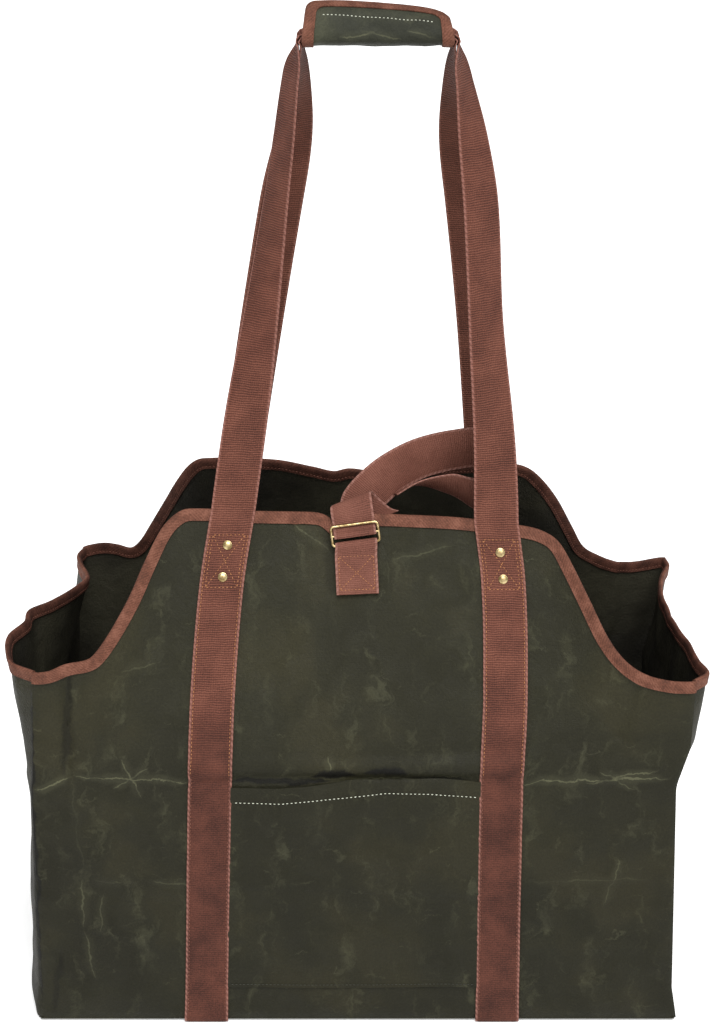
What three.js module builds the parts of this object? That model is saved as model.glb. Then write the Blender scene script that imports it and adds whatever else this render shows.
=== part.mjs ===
// Canvas log carrier: an open tote of waxed canvas with taped rims, webbing straps that run under it and
// rise as two handles into one canvas grip, a front pocket and a webbing closure with a brass tri-glide.
// Millimetres, +Z up, the front faces -Y. The origin is the middle of the underside of the grip.
import * as THREE from 'three';

// Driving dimensions
const BODY_WIDTH = 560;
const BODY_DEPTH = 316;
const CORNER_HEIGHT = 328;
const PANEL_HEIGHT = 446;
const CREASE_HEIGHT = 228;
const TOP_SETBACK = 88;
const CANVAS = 1.5;
const WEBBING_WIDTH = 38;
const WEBBING = 2;
const TAPE = 1;
const TAPE_WIDTH = 11;
const GAP = 0.3;
const HANDLE_HEIGHT = 829;
const GRIP_LENGTH = 123;
const GRIP_HEIGHT = 38;
const GRIP_SHIFT = 17;
const GRIP_CORNER = 15;
const STRAP_SPACING = 255;
const STRAP_BEND = 4.5;
const POCKET_HEIGHT = 228;
const POCKET_FOOT = 35;
const POCKET_GAPE = 3.2;
const CREASE_RIDGE = 3;
const CLOSURE_WIDTH = 36;
const BUCKLE_DROP = 10;
const TAB_LENGTH = 58;
const BUCKLE_BAR = 2.2;
const BUCKLE_WINDOW = 6;
const RIVET_DIAMETER = 8;
const RIVET_DROPS = { left: [54, 29], right: [56, 35] };
const TAB_SHIFT = 1;
const CLOSURE_REACH = 128;
const RIVET_HEIGHT = 1.3;

const HALF_WIDTH = BODY_WIDTH / 2;
const HALF_DEPTH = BODY_DEPTH / 2;
const BASE_HEIGHT = WEBBING + GAP;
const FOOT = BASE_HEIGHT + CANVAS + GAP;
const ON_CANVAS = CANVAS / 2 + GAP;
const BUCKLE_HEIGHT = PANEL_HEIGHT - BUCKLE_DROP;
const TAB_FOOT = BUCKLE_HEIGHT - TAB_LENGTH;
const OVER_TAPE = TAPE + GAP;
const FRONT = -1;
const BACK = 1;

// Finishes, as seen on the object
const canvas = new THREE.MeshStandardMaterial({ color: 0x42433a, roughness: 0.8, metalness: 0 });
const webbing = new THREE.MeshStandardMaterial({ color: 0x75473b, roughness: 0.9, metalness: 0 });
const tape = new THREE.MeshStandardMaterial({ color: 0x87513f, roughness: 0.85, metalness: 0 });
const brass = new THREE.MeshStandardMaterial({ color: 0xb89a62, roughness: 0.35, metalness: 1 });

// Rim of each half panel from its middle to its corner: share of the half width, and share of the rise
// from the corner's height to the panel's
const RIM = {
  frontLeft: [
    { across: 0.0, rise: 0.985 },
    { across: 0.3, rise: 1.0 },
    { across: 0.51, rise: 0.995 },
    { across: 0.55, rise: 0.965 },
    { across: 0.6, rise: 0.86 },
    { across: 0.65, rise: 0.67 },
    { across: 0.7, rise: 0.45 },
    { across: 0.75, rise: 0.27 },
    { across: 0.8, rise: 0.12 },
    { across: 0.83, rise: 0.065 },
    { across: 0.9, rise: 0.05 },
    { across: 0.95, rise: 0.01 },
    { across: 1.0, rise: 0.0 },
  ],
  frontRight: [
    { across: 0.0, rise: 0.985 },
    { across: 0.3, rise: 0.96 },
    { across: 0.49, rise: 0.88 },
    { across: 0.56, rise: 0.84 },
    { across: 0.61, rise: 0.77 },
    { across: 0.65, rise: 0.61 },
    { across: 0.69, rise: 0.42 },
    { across: 0.74, rise: 0.18 },
    { across: 0.79, rise: 0.035 },
    { across: 0.85, rise: -0.04 },
    { across: 0.92, rise: -0.065 },
    { across: 1.0, rise: -0.068 },
  ],
  backLeft: [
    { across: 0.0, rise: 0.95 },
    { across: 0.3, rise: 1.0 },
    { across: 0.53, rise: 0.995 },
    { across: 0.575, rise: 0.94 },
    { across: 0.625, rise: 0.78 },
    { across: 0.68, rise: 0.56 },
    { across: 0.74, rise: 0.32 },
    { across: 0.79, rise: 0.13 },
    { across: 0.83, rise: 0.045 },
    { across: 0.88, rise: 0.055 },
    { across: 0.93, rise: 0.055 },
    { across: 1.0, rise: 0.02 },
  ],
  backRight: [
    { across: 0.0, rise: 0.95 },
    { across: 0.3, rise: 0.98 },
    { across: 0.48, rise: 0.95 },
    { across: 0.53, rise: 0.9 },
    { across: 0.575, rise: 0.78 },
    { across: 0.62, rise: 0.59 },
    { across: 0.665, rise: 0.33 },
    { across: 0.7, rise: 0.13 },
    { across: 0.75, rise: 0.02 },
    { across: 0.81, rise: -0.06 },
    { across: 0.89, rise: -0.1 },
    { across: 1.0, rise: -0.07 },
  ],
};
// Sideways sway of each panel as a share of the half width, by share of the panel's height
const SWAY = [
  { height: 0.0, front: 0.0, back: 0.0 },
  { height: 0.5, front: -0.011, back: 0.012 },
  { height: 0.58, front: 0.012, back: 0.03 },
  { height: 0.73, front: 0.021, back: 0.06 },
  { height: 1.0, front: 0.0, back: 0.028 },
];
// Half width of a panel as a share of the body's, by share of the corner's height
const NARROWING = [
  { height: 0.0, share: 1.0 },
  { height: 0.1, share: 0.982 },
  { height: 0.7, share: 0.978 },
  { height: 0.8, share: 0.993 },
  { height: 1.0, share: 0.993 },
];
// Bulge of each gusset's rim beyond the line between its seams, as a share of the depth, front to back
const GUSSET_RIM = [
  { depth: 0.0, left: 0.0, right: 0.0 },
  { depth: 0.06, left: 0.066, right: 0.044 },
  { depth: 0.15, left: 0.097, right: 0.03 },
  { depth: 0.27, left: 0.107, right: 0.005 },
  { depth: 0.38, left: 0.08, right: -0.017 },
  { depth: 0.47, left: 0.083, right: -0.026 },
  { depth: 0.54, left: 0.035, right: -0.031 },
  { depth: 0.66, left: -0.024, right: -0.041 },
  { depth: 0.75, left: -0.044, right: -0.036 },
  { depth: 0.87, left: -0.012, right: -0.018 },
  { depth: 0.95, left: 0.006, right: 0.004 },
  { depth: 1.0, left: 0.0, right: 0.0 },
];
// Middle of each strap up a panel, as shares of half the straps' spacing, by share of the panel's height
const STRAP_LINE = [
  { height: 0.0, left: -1.04, right: 0.96 },
  { height: 0.5, left: -0.985, right: 0.96 },
  { height: 0.67, left: -0.965, right: 0.985 },
  { height: 0.86, left: -0.91, right: 0.977 },
  { height: 1.0, left: -0.83, right: 0.917 },
];
const FLARE_START = 0.64;
const GUSSET_PUFF = 0.06;
// Lower bulge of the left gusset, as a share of its fullest, by share of the corner's height
const PUFF = [
  { height: 0.0, share: 0.6 },
  { height: 0.04, share: 1.0 },
  { height: 0.35, share: 0.9 },
  { height: 0.64, share: 0.55 },
  { height: 0.8, share: 0.2 },
  { height: 1.0, share: 0.0 },
];
// Section of the grip from its underside to its top edge, as shares of the webbing's width and grip's height
const GRIP_SECTION = [
  { out: 0.0, up: 0.02 },
  { out: 0.2, up: 0.035 },
  { out: 0.38, up: 0.08 },
  { out: 0.53, up: 0.17 },
  { out: 0.585, up: 0.3 },
  { out: 0.54, up: 0.45 },
  { out: 0.42, up: 0.62 },
  { out: 0.27, up: 0.8 },
  { out: 0.14, up: 0.94 },
  { out: 0.075, up: 1.0 },
];
// Droop of the grip's top edge as a share of its height, and its ends' lean, by share of its length
const GRIP_SAG = [
  { along: -0.5, droop: 0.04 },
  { along: -0.3, droop: 0.03 },
  { along: 0.0, droop: 0.1 },
  { along: 0.25, droop: 0.18 },
  { along: 0.4, droop: 0.25 },
  { along: 0.5, droop: 0.31 },
];
const GRIP_TAPER = 0.05;
const LEG_CLOSING = 0.8;
const GRIP_CUP = 0.13;
// Handle legs from the panel's top up to the grip: share of the rise, bow outward as a share of the
// webbing's width, and turn of the webbing in degrees, for the left and the right leg
const FRONT_LEGS = [
  { rise: 0.0, bowLeft: 0.0, bowRight: 0.0, turnLeft: 0, turnRight: 0 },
  { rise: 0.17, bowLeft: 0.0, bowRight: 0.1, turnLeft: 8, turnRight: 20 },
  { rise: 0.42, bowLeft: -0.02, bowRight: 0.12, turnLeft: 38, turnRight: 38 },
  { rise: 0.67, bowLeft: 0.0, bowRight: 0.22, turnLeft: 57, turnRight: 38 },
  { rise: 0.8, bowLeft: 0.02, bowRight: 0.17, turnLeft: 62, turnRight: 48 },
  { rise: 0.92, bowLeft: 0.05, bowRight: 0.07, turnLeft: 74, turnRight: 72 },
  { rise: 0.96, bowLeft: 0.04, bowRight: 0.03, turnLeft: 84, turnRight: 84 },
  { rise: 1.0, bowLeft: 0.0, bowRight: 0.0, turnLeft: 90, turnRight: 90 },
];
const BACK_LEGS = [
  { rise: 0.0, bowLeft: 0.0, bowRight: 0.0, turnLeft: 0, turnRight: 0 },
  { rise: 0.35, bowLeft: -0.02, bowRight: 0.05, turnLeft: 0, turnRight: 4 },
  { rise: 0.64, bowLeft: -0.08, bowRight: 0.0, turnLeft: 6, turnRight: 10 },
  { rise: 0.78, bowLeft: -0.2, bowRight: -0.16, turnLeft: 26, turnRight: 28 },
  { rise: 0.9, bowLeft: -0.2, bowRight: -0.16, turnLeft: 58, turnRight: 58 },
  { rise: 0.96, bowLeft: -0.13, bowRight: -0.13, turnLeft: 76, turnRight: 77 },
  { rise: 1.0, bowLeft: 0.0, bowRight: 0.0, turnLeft: 90, turnRight: 90 },
];
// Free run of the closure strap beyond the rim: shares of its reach to the right, of the setback of the
// rim towards the middle, and of its own width above the rim, with the slope of the strap in degrees
const CLOSURE_RUN = [
  { right: -0.025, inward: 0.02, above: 0.22, slope: 86 },
  { right: -0.015, inward: 0.09, above: 0.3, slope: 80 },
  { right: 0.02, inward: 0.2, above: 0.34, slope: 62 },
  { right: 0.11, inward: 0.32, above: 0.4, slope: 46 },
  { right: 0.26, inward: 0.44, above: 0.6, slope: 33 },
  { right: 0.45, inward: 0.58, above: 0.85, slope: 20 },
  { right: 0.68, inward: 0.68, above: 1.03, slope: 7 },
  { right: 0.88, inward: 0.68, above: 1.07, slope: -2 },
];
const CLOSURE_TURN = { right: 0.98, inward: 0.46, above: 0.8, slope: 20 };
const CLOSURE_RETURN = [
  { right: 0.86, inward: 0.25, above: 0.4, slope: 10 },
  { right: 0.66, inward: 0.23, above: 0.36, slope: 4 },
  { right: 0.44, inward: 0.22, above: 0.31, slope: -8 },
  { right: 0.27, inward: 0.2, above: 0.22, slope: -24 },
];

const clamp = (value) => Math.min(Math.max(value, 0), 1);
const lerp = (from, to, share) => from + (to - from) * share;
const smooth = (share) => share * share * (3 - 2 * share);
const vector = (x, y, z) => new THREE.Vector3(x, y, z);

// Value of a column of a table at a key, eased between its rows
function column(rows, key, name, at) {
  const last = rows.length - 1;
  if (at <= rows[0][key]) return rows[0][name];
  for (let i = 0; i < last; i += 1) {
    if (at <= rows[i + 1][key]) {
      const share = (at - rows[i][key]) / (rows[i + 1][key] - rows[i][key]);
      return lerp(rows[i][name], rows[i + 1][name], share);
    }
  }
  return rows[last][name];
}

// Same, on a smooth curve through the rows
function smoothColumn(rows, key, name, at) {
  const last = rows.length - 1;
  const point = (i) => rows[Math.min(Math.max(i, 0), last)];
  let i = 0;
  while (i < last - 1 && at > rows[i + 1][key]) i += 1;
  const span = rows[i + 1][key] - rows[i][key];
  const share = clamp((at - rows[i][key]) / span);
  const slope = (a, b) => (b[key] > a[key] ? (b[name] - a[name]) / (b[key] - a[key]) : 0);
  const m0 = slope(point(i - 1), point(i + 1)) * span;
  const m1 = slope(point(i), point(i + 2)) * span;
  const s2 = share * share;
  const s3 = s2 * share;
  return (2 * s3 - 3 * s2 + 1) * rows[i][name] + (s3 - 2 * s2 + share) * m0
    + (3 * s2 - 2 * s3) * rows[i + 1][name] + (s3 - s2) * m1;
}

// Closed solid of a sheet: grid[i][j] are points of its middle surface, normals[i][j] its directions.
// A looped sheet joins its last row of points to its first.
function sheetGeometry(grid, normals, thickness, looped = false) {
  const rows = grid.length;
  const cols = grid[0].length;
  const vertices = [];
  for (const side of [0.5, -0.5]) {
    for (let i = 0; i < rows; i += 1) {
      for (let j = 0; j < cols; j += 1) {
        const p = grid[i][j].clone().addScaledVector(normals[i][j], side * thickness);
        vertices.push(p.x, p.y, p.z);
      }
    }
  }
  const outer = (i, j) => (i % rows) * cols + j;
  const inner = (i, j) => rows * cols + outer(i, j);
  const index = [];
  const quad = (a, b, c, d) => index.push(a, b, c, a, c, d);
  const lastRow = looped ? rows : rows - 1;
  for (let i = 0; i < lastRow; i += 1) {
    const next = (i + 1) % rows;
    for (let j = 0; j < cols - 1; j += 1) {
      const rising = grid[i][j].distanceTo(grid[next][j + 1]);
      const falling = grid[i][j + 1].distanceTo(grid[next][j]);
      const shift = rising <= falling ? 0 : 1;
      const top = [outer(i, j), outer(i, j + 1), outer(i + 1, j + 1), outer(i + 1, j)];
      const under = [inner(i, j), inner(i + 1, j), inner(i + 1, j + 1), inner(i, j + 1)];
      quad(...top.slice(shift), ...top.slice(0, shift));
      quad(...under.slice(shift), ...under.slice(0, shift));
    }
    quad(inner(i, 0), outer(i, 0), outer(i + 1, 0), inner(i + 1, 0));
    quad(outer(i, cols - 1), inner(i, cols - 1), inner(i + 1, cols - 1), outer(i + 1, cols - 1));
  }
  if (!looped) {
    for (let j = 0; j < cols - 1; j += 1) {
      quad(inner(0, j), inner(0, j + 1), outer(0, j + 1), outer(0, j));
      quad(outer(rows - 1, j), outer(rows - 1, j + 1), inner(rows - 1, j + 1), inner(rows - 1, j));
    }
  }
  const geometry = new THREE.BufferGeometry();
  geometry.setAttribute('position', new THREE.Float32BufferAttribute(vertices, 3));
  geometry.setIndex(signedVolume(vertices, index) < 0 ? flipped(index) : index);
  geometry.computeVertexNormals();
  return geometry;
}

function signedVolume(vertices, index) {
  const at = (k) => vector(vertices[3 * k], vertices[3 * k + 1], vertices[3 * k + 2]);
  let volume = 0;
  for (let k = 0; k < index.length; k += 3) {
    volume += at(index[k]).dot(at(index[k + 1]).cross(at(index[k + 2])));
  }
  return volume;
}

function flipped(index) {
  const turned = [];
  for (let k = 0; k < index.length; k += 3) turned.push(index[k], index[k + 2], index[k + 1]);
  return turned;
}

// Point and outward normal of a surface given by place(u, v), with the point moved out along the normal
function onSurface(place, u, v, out, facing) {
  const step = 0.5;
  const along = place(u + step, v).sub(place(u - step, v));
  const up = place(u, v + step).sub(place(u, v - step));
  const normal = along.cross(up).normalize();
  if (normal.dot(facing) < 0) normal.negate();
  return { point: place(u, v).addScaledVector(normal, out), normal };
}

// Solid of a strip whose stations each hold a row of points with their normals
function stripGeometry(stations, thickness, looped = false) {
  const grid = stations.map((station) => station.map((place) => place.point));
  const normals = stations.map((station) => station.map((place) => place.normal));
  return sheetGeometry(grid, normals, thickness, looped);
}

// Panels
const rimHeight = (face, across) => {
  const rows = RIM[(face === FRONT ? 'front' : 'back') + (across < 0 ? 'Left' : 'Right')];
  const rise = smoothColumn(rows, 'across', 'rise', Math.min(Math.abs(across) / HALF_WIDTH, 1));
  return CORNER_HEIGHT + (PANEL_HEIGHT - CORNER_HEIGHT) * rise;
};

function panelPlace(face, across, height) {
  const sway = column(SWAY, 'height', face === FRONT ? 'front' : 'back', height / PANEL_HEIGHT);
  const narrow = column(NARROWING, 'height', 'share', height / CORNER_HEIGHT);
  const rise = clamp((height - CREASE_HEIGHT) / (PANEL_HEIGHT - CREASE_HEIGHT));
  const middle = 1 - smooth(clamp((Math.abs(across) / HALF_WIDTH - 0.55) / 0.45));
  const lean = TOP_SETBACK * rise ** 1.12 * middle;
  const ridge = CREASE_RIDGE * Math.exp(-(((height - CREASE_HEIGHT) / (4 * CREASE_RIDGE)) ** 2));
  const x = across * narrow + HALF_WIDTH * sway;
  return vector(x, face * (HALF_DEPTH - CANVAS / 2 - lean - ridge * middle), height);
}

const onPanel = (face, across, height, out) => onSurface(
  (u, v) => panelPlace(face, u, v), across, height, out, vector(0, face, 0));

// Direction along the rim, and the place a little in from the rim at a place across the panel
function rimSlope(face, across) {
  const step = 2;
  const rise = rimHeight(face, across + step) - rimHeight(face, across - step);
  return vector(2 * step, 0, rise).normalize();
}
function inFromRim(face, across, inset) {
  const slope = rimSlope(face, across);
  return { across: across + slope.z * inset, height: rimHeight(face, across) - slope.x * inset };
}

// Column of places up a panel, whose rows are shared with what is sewn on: the last two are the lower
// edge of the rim's tape and the rim itself
const LOW_ROWS = [0.09, 0.35, 0.6, 0.8, 0.95, 1.0, 1.05];
const HIGH_ROWS = [0.14, 0.34, 0.54, 0.75, 0.93, 1.0];
function panelColumn(face, across) {
  const low = LOW_ROWS.map((share) => share * CREASE_HEIGHT);
  const start = low[low.length - 1];
  const end = inFromRim(face, across, TAPE_WIDTH);
  const high = HIGH_ROWS.map((share) => ({ across: lerp(across, end.across, share),
    height: lerp(start, end.height, share) }));
  return [...[FOOT, ...low].map((height) => ({ across, height })), ...high,
    { across, height: rimHeight(face, across) }];
}

// Places across a panel, closer together where its rim is steep
const RIM_STEPS = [0.16, 0.33, 0.44, 0.51, 0.55, 0.59, 0.63, 0.67, 0.71, 0.75, 0.79, 0.84, 0.91, 1.0];
const ACROSS = [...RIM_STEPS.map((share) => -share).reverse(), 0, ...RIM_STEPS]
  .map((share) => share * HALF_WIDTH);

function panelGeometry(face) {
  const stations = ACROSS.map((across) => panelColumn(face, across)
    .map((place) => onPanel(face, place.across, place.height, 0)));
  return stripGeometry(stations, CANVAS);
}

// Gussets
const sideName = (side) => (side < 0 ? 'left' : 'right');

const gussetRim = (side, depth) => lerp(rimHeight(FRONT, side * HALF_WIDTH),
  rimHeight(BACK, side * HALF_WIDTH), clamp(depth / BODY_DEPTH));

function gussetPlace(side, depth, height) {
  const share = clamp(depth / BODY_DEPTH);
  const underTape = clamp((height - gussetRim(side, depth) + 2 * TAPE_WIDTH) / TAPE_WIDTH);
  const inset = CANVAS / 2 + GAP + (OVER_TAPE + GAP) * underTape;
  const front = panelPlace(FRONT, side * HALF_WIDTH, height);
  const back = panelPlace(BACK, side * HALF_WIDTH, height);
  const flare = clamp((height / CORNER_HEIGHT - FLARE_START) / (1 - FLARE_START));
  const bulge = column(GUSSET_RIM, 'depth', sideName(side), share) * flare;
  const puff = side < 0 ? GUSSET_PUFF * Math.sin(Math.PI * share) ** 0.5
    * column(PUFF, 'height', 'share', height / CORNER_HEIGHT) : 0;
  const x = lerp(front.x, back.x, share) + side * (BODY_DEPTH * (bulge + puff) - CANVAS / 2);
  return vector(x, lerp(front.y + inset, back.y - inset, share), height);
}

function onGusset(side, depth, height, out) {
  const facing = vector(side, 0, 0);
  const place = (u, v) => gussetPlace(side, u, v);
  const found = onSurface(place, depth, height, 0, facing);
  const atSeam = depth < 1 || depth > BODY_DEPTH - 1;
  if (atSeam) found.normal.copy(facing);
  found.point.addScaledVector(found.normal, out);
  return found;
}

const GUSSET_DEPTHS = GUSSET_RIM.map((row) => row.depth * BODY_DEPTH);
const GUSSET_ROWS = [0.12, 0.35, 0.52, 0.64, 0.72, 0.81, 0.9];

function gussetGeometry(side) {
  const stations = GUSSET_DEPTHS.map((depth) => {
    const rim = gussetRim(side, depth);
    return [FOOT, ...GUSSET_ROWS.map((share) => share * rim), rim - TAPE_WIDTH, rim]
      .map((height) => onGusset(side, depth, height, 0));
  });
  return stripGeometry(stations, CANVAS);
}

// Tape folded over an edge: legs on both faces of the canvas and a round back beyond its edge.
// on(inset, out) gives a place on the canvas at a distance in from the edge and out from its face.
function tapeStation(on, beyond) {
  const reach = ON_CANVAS + TAPE / 2;
  const edge = on(0, 0);
  const back = { point: edge.point.clone().addScaledVector(beyond, reach), normal: beyond };
  const outerLeg = [TAPE_WIDTH, 0].map((inset) => on(inset, reach));
  const innerLeg = [0, TAPE_WIDTH].map((inset) => on(inset, -reach))
    .map((place) => ({ point: place.point, normal: place.normal.negate() }));
  return [...outerLeg, back, ...innerLeg];
}

function panelTapeGeometry(face) {
  const stations = ACROSS.map((across) => {
    const on = (inset, out) => {
      const place = inFromRim(face, across, inset);
      return onPanel(face, place.across, place.height, out);
    };
    return tapeStation(on, on(-1, 0).point.sub(on(0, 0).point).normalize());
  });
  return stripGeometry(stations, TAPE);
}

function gussetTapeGeometry(side) {
  const stations = GUSSET_DEPTHS.map((depth) => {
    const on = (inset, out) => onGusset(side, depth, gussetRim(side, depth) - inset, out);
    return tapeStation(on, vector(0, 0, 1));
  });
  return stripGeometry(stations, TAPE);
}

// Straps
function strapAcross(face, side, height) {
  const share = smoothColumn(STRAP_LINE, 'height', sideName(side), height / PANEL_HEIGHT);
  const middle = panelPlace(face, 0, height).x;
  const wide = panelPlace(face, HALF_WIDTH, height).x - middle;
  return (share * STRAP_SPACING / 2 - middle) * HALF_WIDTH / wide;
}

const ACROSS_WEBBING = [-0.5, -0.25, 0, 0.25, 0.5].map((share) => share * WEBBING_WIDTH);
const webbingOut = (below) => {
  const overTape = clamp((2.35 * TAPE_WIDTH - below) / TAPE_WIDTH);
  return ON_CANVAS + WEBBING / 2 + OVER_TAPE * smooth(overTape);
};

function strapOnPanel(face, side, height) {
  const across = strapAcross(face, side, height);
  return ACROSS_WEBBING.map((offset) => onPanel(face, across + offset, height,
    webbingOut(rimHeight(face, across + offset) - height)));
}

// Webbing from the middle of the base to the foot of a panel, round the base's edge
function strapUnderBase(face, side) {
  const across = strapAcross(face, side, 0);
  const radius = CANVAS + GAP + WEBBING / 2;
  const flat = WEBBING / 2;
  const turnY = HALF_DEPTH + GAP + WEBBING / 2 - radius;
  const row = (y, z, ny, nz) => ACROSS_WEBBING.map((offset) => ({
    point: vector(across + offset, face * y, z), normal: vector(0, face * ny, nz) }));
  const stations = [0, 0.5, 0.95].map((share) => row(lerp(GAP / 2, turnY, share), flat, 0, -1));
  for (const degrees of [0, 30, 60]) {
    const turn = THREE.MathUtils.degToRad(degrees);
    stations.push(row(turnY + radius * Math.sin(turn), flat + radius * (1 - Math.cos(turn)),
      Math.sin(turn), -Math.cos(turn)));
  }
  return stations;
}

const gripEnd = (side) => GRIP_SHIFT + side * GRIP_LENGTH / 2;
const LAYER = WEBBING + 3 * GAP;
const layerHeight = (face) => HANDLE_HEIGHT + CANVAS + 2 * GAP + OVER_TAPE + WEBBING / 2
  + (face === FRONT ? LAYER : 0);
const layerBend = (face) => STRAP_BEND + (face === FRONT ? LAYER : 0);

// One handle leg, from the panel's rim to the bend at the grip
function strapLeg(face, side) {
  const rows = face === FRONT ? FRONT_LEGS : BACK_LEGS;
  const name = side < 0 ? 'Left' : 'Right';
  const across = strapAcross(face, side, PANEL_HEIGHT);
  const foot = onPanel(face, across, rimHeight(face, across), webbingOut(0)).point;
  const top = vector(gripEnd(side) + side * layerBend(face), 0, layerHeight(face) - layerBend(face));
  const shares = [0.05, 0.13, 0.22, 0.32, 0.42, 0.52, 0.62, 0.71, 0.8, 0.86, 0.92, 0.965, 1.0];
  return shares.map((share) => {
    const centre = foot.clone().lerp(top, share);
    centre.y = lerp(top.y, foot.y, (1 - share) ** LEG_CLOSING);
    centre.x += side * WEBBING_WIDTH * smoothColumn(rows, 'rise', `bow${name}`, share);
    const turn = THREE.MathUtils.degToRad(smoothColumn(rows, 'rise', `turn${name}`, share));
    const width = vector(Math.cos(turn), -face * side * Math.sin(turn), 0);
    const normal = vector(side * Math.sin(turn), face * Math.cos(turn), 0);
    return ACROSS_WEBBING.map((offset) => ({
      point: centre.clone().addScaledVector(width, offset), normal: normal.clone() }));
  });
}

// Rows of the webbing in the grip and in the bend before it, cupped like the grip's underside
function strapInGrip(face) {
  const stations = [];
  const cup = (offset) => GRIP_CUP * WEBBING_WIDTH * (offset / (WEBBING_WIDTH / 2)) ** 2;
  const row = (side, x, z, nx, nz, cupping) => ACROSS_WEBBING.map((offset) => {
    const across = face * offset;
    const lift = cupping * cup(offset);
    const tilt = cupping * 4 * GRIP_CUP * across / (WEBBING_WIDTH / 2);
    return { point: vector(x + nx * lift, across * (1 - 0.06 * cupping), z + nz * lift),
      normal: vector(nx, -tilt, nz).normalize() };
  });
  const bend = layerBend(face);
  for (const side of [-1, 1]) {
    const turns = side < 0 ? [30, 60, 85] : [85, 60, 30];
    const arc = turns.map((degrees) => {
      const turn = THREE.MathUtils.degToRad(degrees);
      const x = gripEnd(side) + side * bend * Math.cos(turn);
      return row(side, x, layerHeight(face) - bend + bend * Math.sin(turn),
        side * Math.cos(turn), Math.sin(turn), Math.sin(turn));
    });
    const along = [0.95, 0.5, 0.05].map((share) => row(side, lerp(GRIP_SHIFT, gripEnd(side), share),
      layerHeight(face), 0, 1, 1));
    stations.push(...(side < 0 ? [...arc, ...along] : [...along.reverse(), ...arc]));
  }
  return stations;
}

function webbingGeometry(face) {
  const rise = (side) => {
    const top = strapAcross(face, side, PANEL_HEIGHT);
    const heights = panelColumn(face, top).slice(1).map((place) => place.height);
    return [...strapUnderBase(face, side), ...heights.map((height) => strapOnPanel(face, side, height)),
      ...strapLeg(face, side)];
  };
  const flip = (station) => station.slice().reverse();
  const right = rise(1).reverse();
  return stripGeometry([...rise(-1), ...strapInGrip(face), ...right.map(flip)], WEBBING);
}

// Grip: canvas folded up round the webbing, with its two edges side by side at the top. The section is
// measured along the canvas from the middle of its underside, `round`.
const gripRows = GRIP_SECTION.map((row) => ({ out: row.out * WEBBING_WIDTH, up: row.up * GRIP_HEIGHT }));
gripRows.forEach((row, i) => {
  const before = gripRows[i - 1] ?? { ...row, round: 0 };
  row.round = before.round + Math.hypot(row.out - before.out, row.up - before.up);
});
const GRIP_HALF_ROUND = gripRows[gripRows.length - 1].round;

function gripPlace(along, round) {
  const out = Math.sign(round) * smoothColumn(gripRows, 'round', 'out', Math.abs(round));
  const up = smoothColumn(gripRows, 'round', 'up', Math.abs(round));
  const rise = smooth(clamp(up / GRIP_HEIGHT));
  const droop = 1 - rise * smoothColumn(GRIP_SAG, 'along', 'droop', along / GRIP_LENGTH);
  return vector(GRIP_SHIFT + along * (1 - GRIP_TAPER * rise), out, HANDLE_HEIGHT + up * droop);
}

const onGrip = (along, round, out) => {
  const centre = gripPlace(along, 0).add(vector(0, 0, GRIP_HEIGHT / 3));
  return onSurface(gripPlace, along, round, out, gripPlace(along, round).sub(centre));
};

const GRIP_STRAIGHT = GRIP_LENGTH / 2 - GRIP_CORNER;
const GRIP_ALONG = [-0.9, -0.4, 0, 0.4, 0.9].map((share) => share * GRIP_STRAIGHT);
const GRIP_TURNS = [30, 60, 90].map((degrees) => THREE.MathUtils.degToRad(degrees));
const gripEndRounds = gripRows.slice(0, -1).map((row) => row.round)
  .filter((round) => round < GRIP_HALF_ROUND - GRIP_CORNER - 1);
gripEndRounds.push(GRIP_HALF_ROUND - GRIP_CORNER);

function gripGeometry() {
  const half = [
    ...gripEndRounds.map((round) => ({ round, reach: GRIP_LENGTH / 2 })),
    ...GRIP_TURNS.map((turn) => ({
      round: GRIP_HALF_ROUND - GRIP_CORNER * (1 - Math.sin(turn)),
      reach: GRIP_LENGTH / 2 - GRIP_CORNER * (1 - Math.cos(turn)) })),
  ];
  const mirrored = half.slice(1).reverse().map((row) => ({ round: -row.round, reach: row.reach }));
  const stations = [...mirrored, ...half].map((row) => [-row.reach, ...GRIP_ALONG, row.reach]
    .map((along) => onGrip(along, row.round, 0)));
  return stripGeometry(stations, CANVAS);
}

function gripTapeGeometry() {
  const high = GRIP_HALF_ROUND - GRIP_CORNER;
  const places = [];
  const side = (x, rounds) => rounds.forEach((round) => places.push(
    (inset) => ({ along: x * (GRIP_LENGTH / 2 - inset), round })));
  const corner = (x, y, turns) => turns.forEach((turn) => places.push((inset) => ({
    along: x * (GRIP_STRAIGHT + (GRIP_CORNER - inset) * Math.cos(turn)),
    round: y * (high + (GRIP_CORNER - inset) * Math.sin(turn)) })));
  const top = (x, y) => GRIP_ALONG.forEach((along) => places.push((inset) => ({
    along: -x * along, round: y * (GRIP_HALF_ROUND - inset) })));
  const up = [...gripEndRounds.slice(1).map((round) => -round).reverse(), ...gripEndRounds];
  side(1, up);
  corner(1, 1, GRIP_TURNS);
  top(1, 1);
  corner(-1, 1, [...GRIP_TURNS].reverse());
  side(-1, [...up].reverse());
  corner(-1, -1, GRIP_TURNS);
  top(-1, -1);
  corner(1, -1, [...GRIP_TURNS].reverse());
  const stations = places.map((place) => {
    const on = (inset, out) => {
      const { along, round } = place(inset);
      return onGrip(along, round, out);
    };
    return tapeStation(on, on(0, 0).point.sub(on(1, 0).point).normalize());
  });
  return stripGeometry(stations, TAPE, true);
}

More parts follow.
